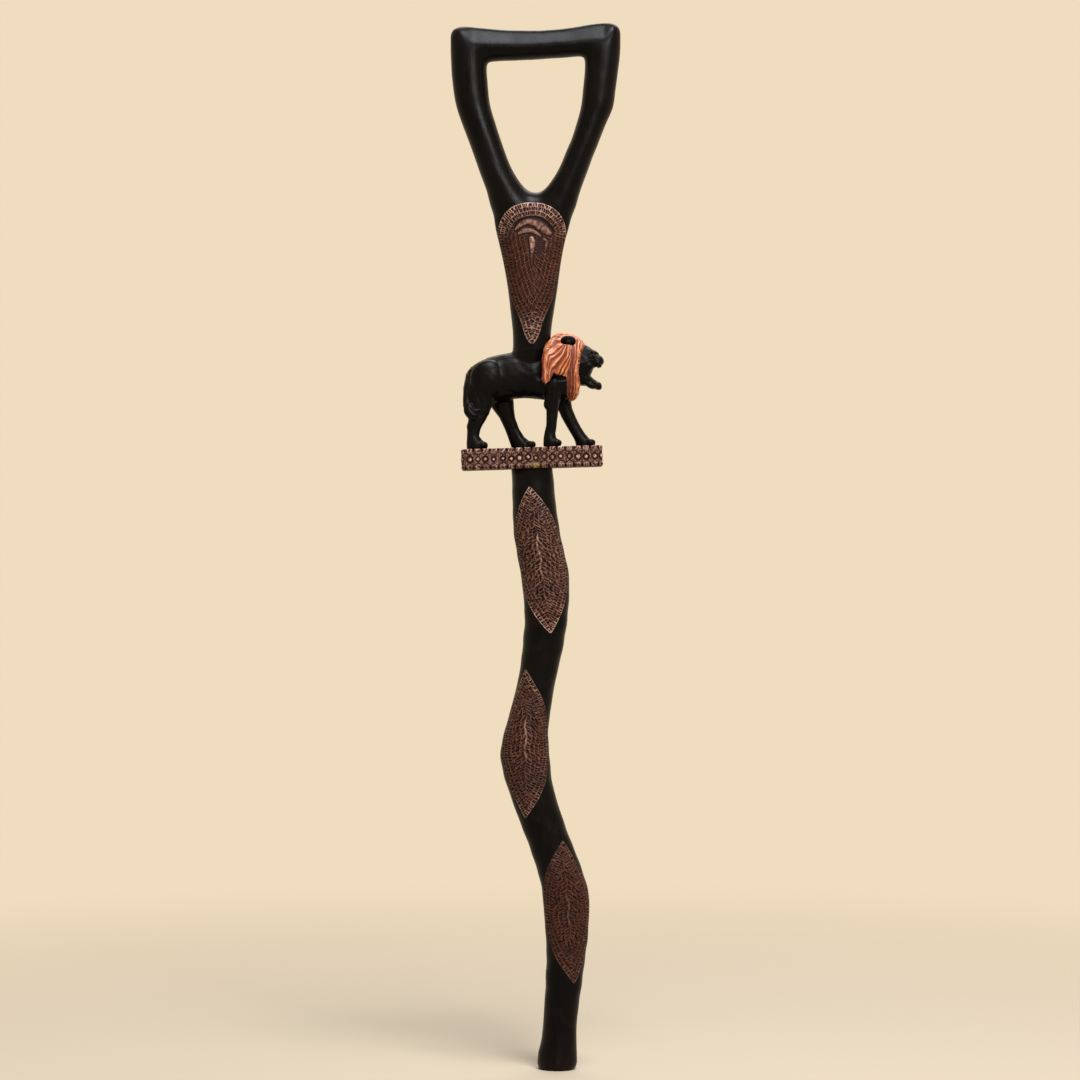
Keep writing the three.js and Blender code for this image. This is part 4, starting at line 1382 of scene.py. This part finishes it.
def make_rod(node, diameter, length, flutes, lean, material):
    low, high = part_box(node)
    columns = flutes * 8
    chamfer = diameter * 0.12
    ends = np.array([0, 0.4, 1]) * chamfer
    middle = np.linspace(chamfer * 1.5, length - chamfer * 1.5, 24)
    heights = np.concatenate([ends, middle, length - ends[::-1]])
    taper = np.minimum(1, 0.80 + 0.20 * np.minimum(heights, length - heights) / chamfer)
    angle = np.arange(columns) / columns * 2 * math.pi
    radius = diameter / 2 * (1 - FLUTE * np.abs(np.sin(angle * flutes / 2)) ** 3)
    ring = np.stack([np.cos(angle) * radius, np.sin(angle) * radius], axis=-1)
    points = np.concatenate([
        np.concatenate([ring * size, np.full((columns, 1), height - length / 2)], axis=1)
        for height, size in zip(heights, taper)
    ]) * MM
    bore = Matrix.Translation((low + high) / 2) @ Matrix.Rotation(-lean, 4, "Y")
    faces = tube_faces(len(heights), columns)
    piece = add_piece(f"{node}_wood", set_at(bore, points), faces, material)
    piece.data.set_sharp_from_angle(angle=math.radians(35))
    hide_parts(node)


bare_wood = raw_hardwood()
for node, sizes in rods.items():
    make_rod(node, *sizes, bare_wood)

# Studio: a pale floor that runs on into a pale backdrop, with one soft lamp overhead, one in front to
# the right and one behind. The camera is square to the front, far enough back to see the stick nearly flat.
BACKDROP = dye(240, 220, 190)
CAMERA_HEIGHT = 462.4 * MM
CAMERA_SIDE = -14.9 * MM
VIEW_WIDTH = 945 * MM
LENS = 100
SENSOR = 36
FLOOR_RADIUS = 14
# The lamps all point at this place on the stick
LIT_PLACE = Vector((-0.015, 0, 0.5))


def pale_floor():
    material, tree, shader = finish("pale_floor", 0.8)
    shader.inputs["Base Color"].default_value = dye(190, 174, 150)
    place = put(tree, "NewGeometry").outputs["Position"]
    away = put(tree, "VectorMath", place, settings={"operation": "LENGTH"}).outputs["Value"]
    glow = put(tree, "Emission", Color=BACKDROP, Strength=1.0)
    fade = between(tree, away, 0.25, 1.5)
    mixed = put(tree, "MixShader", fade, shader.outputs[0], glow.outputs[0])
    tree.links.new(mixed.outputs[0], tree.nodes["Material Output"].inputs["Surface"])
    return material


def make_floor():
    shell = bmesh.new()
    bmesh.ops.create_circle(shell, cap_ends=True, segments=96, radius=FLOOR_RADIUS)
    floor = in_scene("floor", mesh_of("floor", shell))
    floor.data.materials.append(pale_floor())
    floor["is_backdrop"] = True


def make_world():
    """A dim cool room for light, and the pale backdrop wherever it is seen or mirrored."""
    world = bpy.data.worlds.new("studio")
    world.use_nodes = True
    tree = world.node_tree
    seen = put(tree, "LightPath")
    shown = sum_of(tree, seen.outputs["Is Camera Ray"], seen.outputs["Is Transmission Ray"], "MAXIMUM")
    shown = sum_of(tree, shown, seen.outputs["Is Glossy Ray"], "MAXIMUM")
    room = put(tree, "Background", Color=(0.94, 0.96, 1.0, 1), Strength=0.28)
    backdrop = put(tree, "Background", Color=BACKDROP, Strength=1.0)
    mixed = put(tree, "MixShader", shown, room.outputs[0], backdrop.outputs[0])
    tree.links.new(mixed.outputs[0], tree.nodes["World Output"].inputs["Surface"])
    scene.world = world


def add_lamp(name, place, width, height, power, colour):
    light = bpy.data.lights.new(name, "AREA")
    light.shape = "RECTANGLE"
    light.size, light.size_y = width, height
    light.energy = power
    light.color = colour
    lamp = in_scene(name, light)
    lamp.location = place
    aim = LIT_PLACE - Vector(place)
    lamp.rotation_euler = aim.to_track_quat("-Z", "Y").to_euler()


make_floor()
make_world()
add_lamp("overhead_softbox", (0.3, -0.85, 2.85), 1.0, 0.85, 74, (0.86, 0.92, 1.0))
add_lamp("front_softbox", (0.85, -2.0, 1.75), 1.0, 0.8, 42, (0.97, 0.98, 1.0))
add_lamp("rear_softbox", (0.3, 1.7, 2.7), 2.6, 1.8, 40, (0.97, 0.98, 1.0))

camera = bpy.data.cameras.new("camera")
camera.lens = LENS
camera.sensor_width = SENSOR
viewer = in_scene("camera", camera)
viewer.location = (CAMERA_SIDE, -VIEW_WIDTH * LENS / SENSOR, CAMERA_HEIGHT)
viewer.rotation_euler = (math.pi / 2, 0, 0)
scene.camera = viewer
scene.view_settings.view_transform = "Standard"

sizes = {
    "cad": [list(corner) for corner in cad_box],
    "visual": [list(corner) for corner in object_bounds()],
}
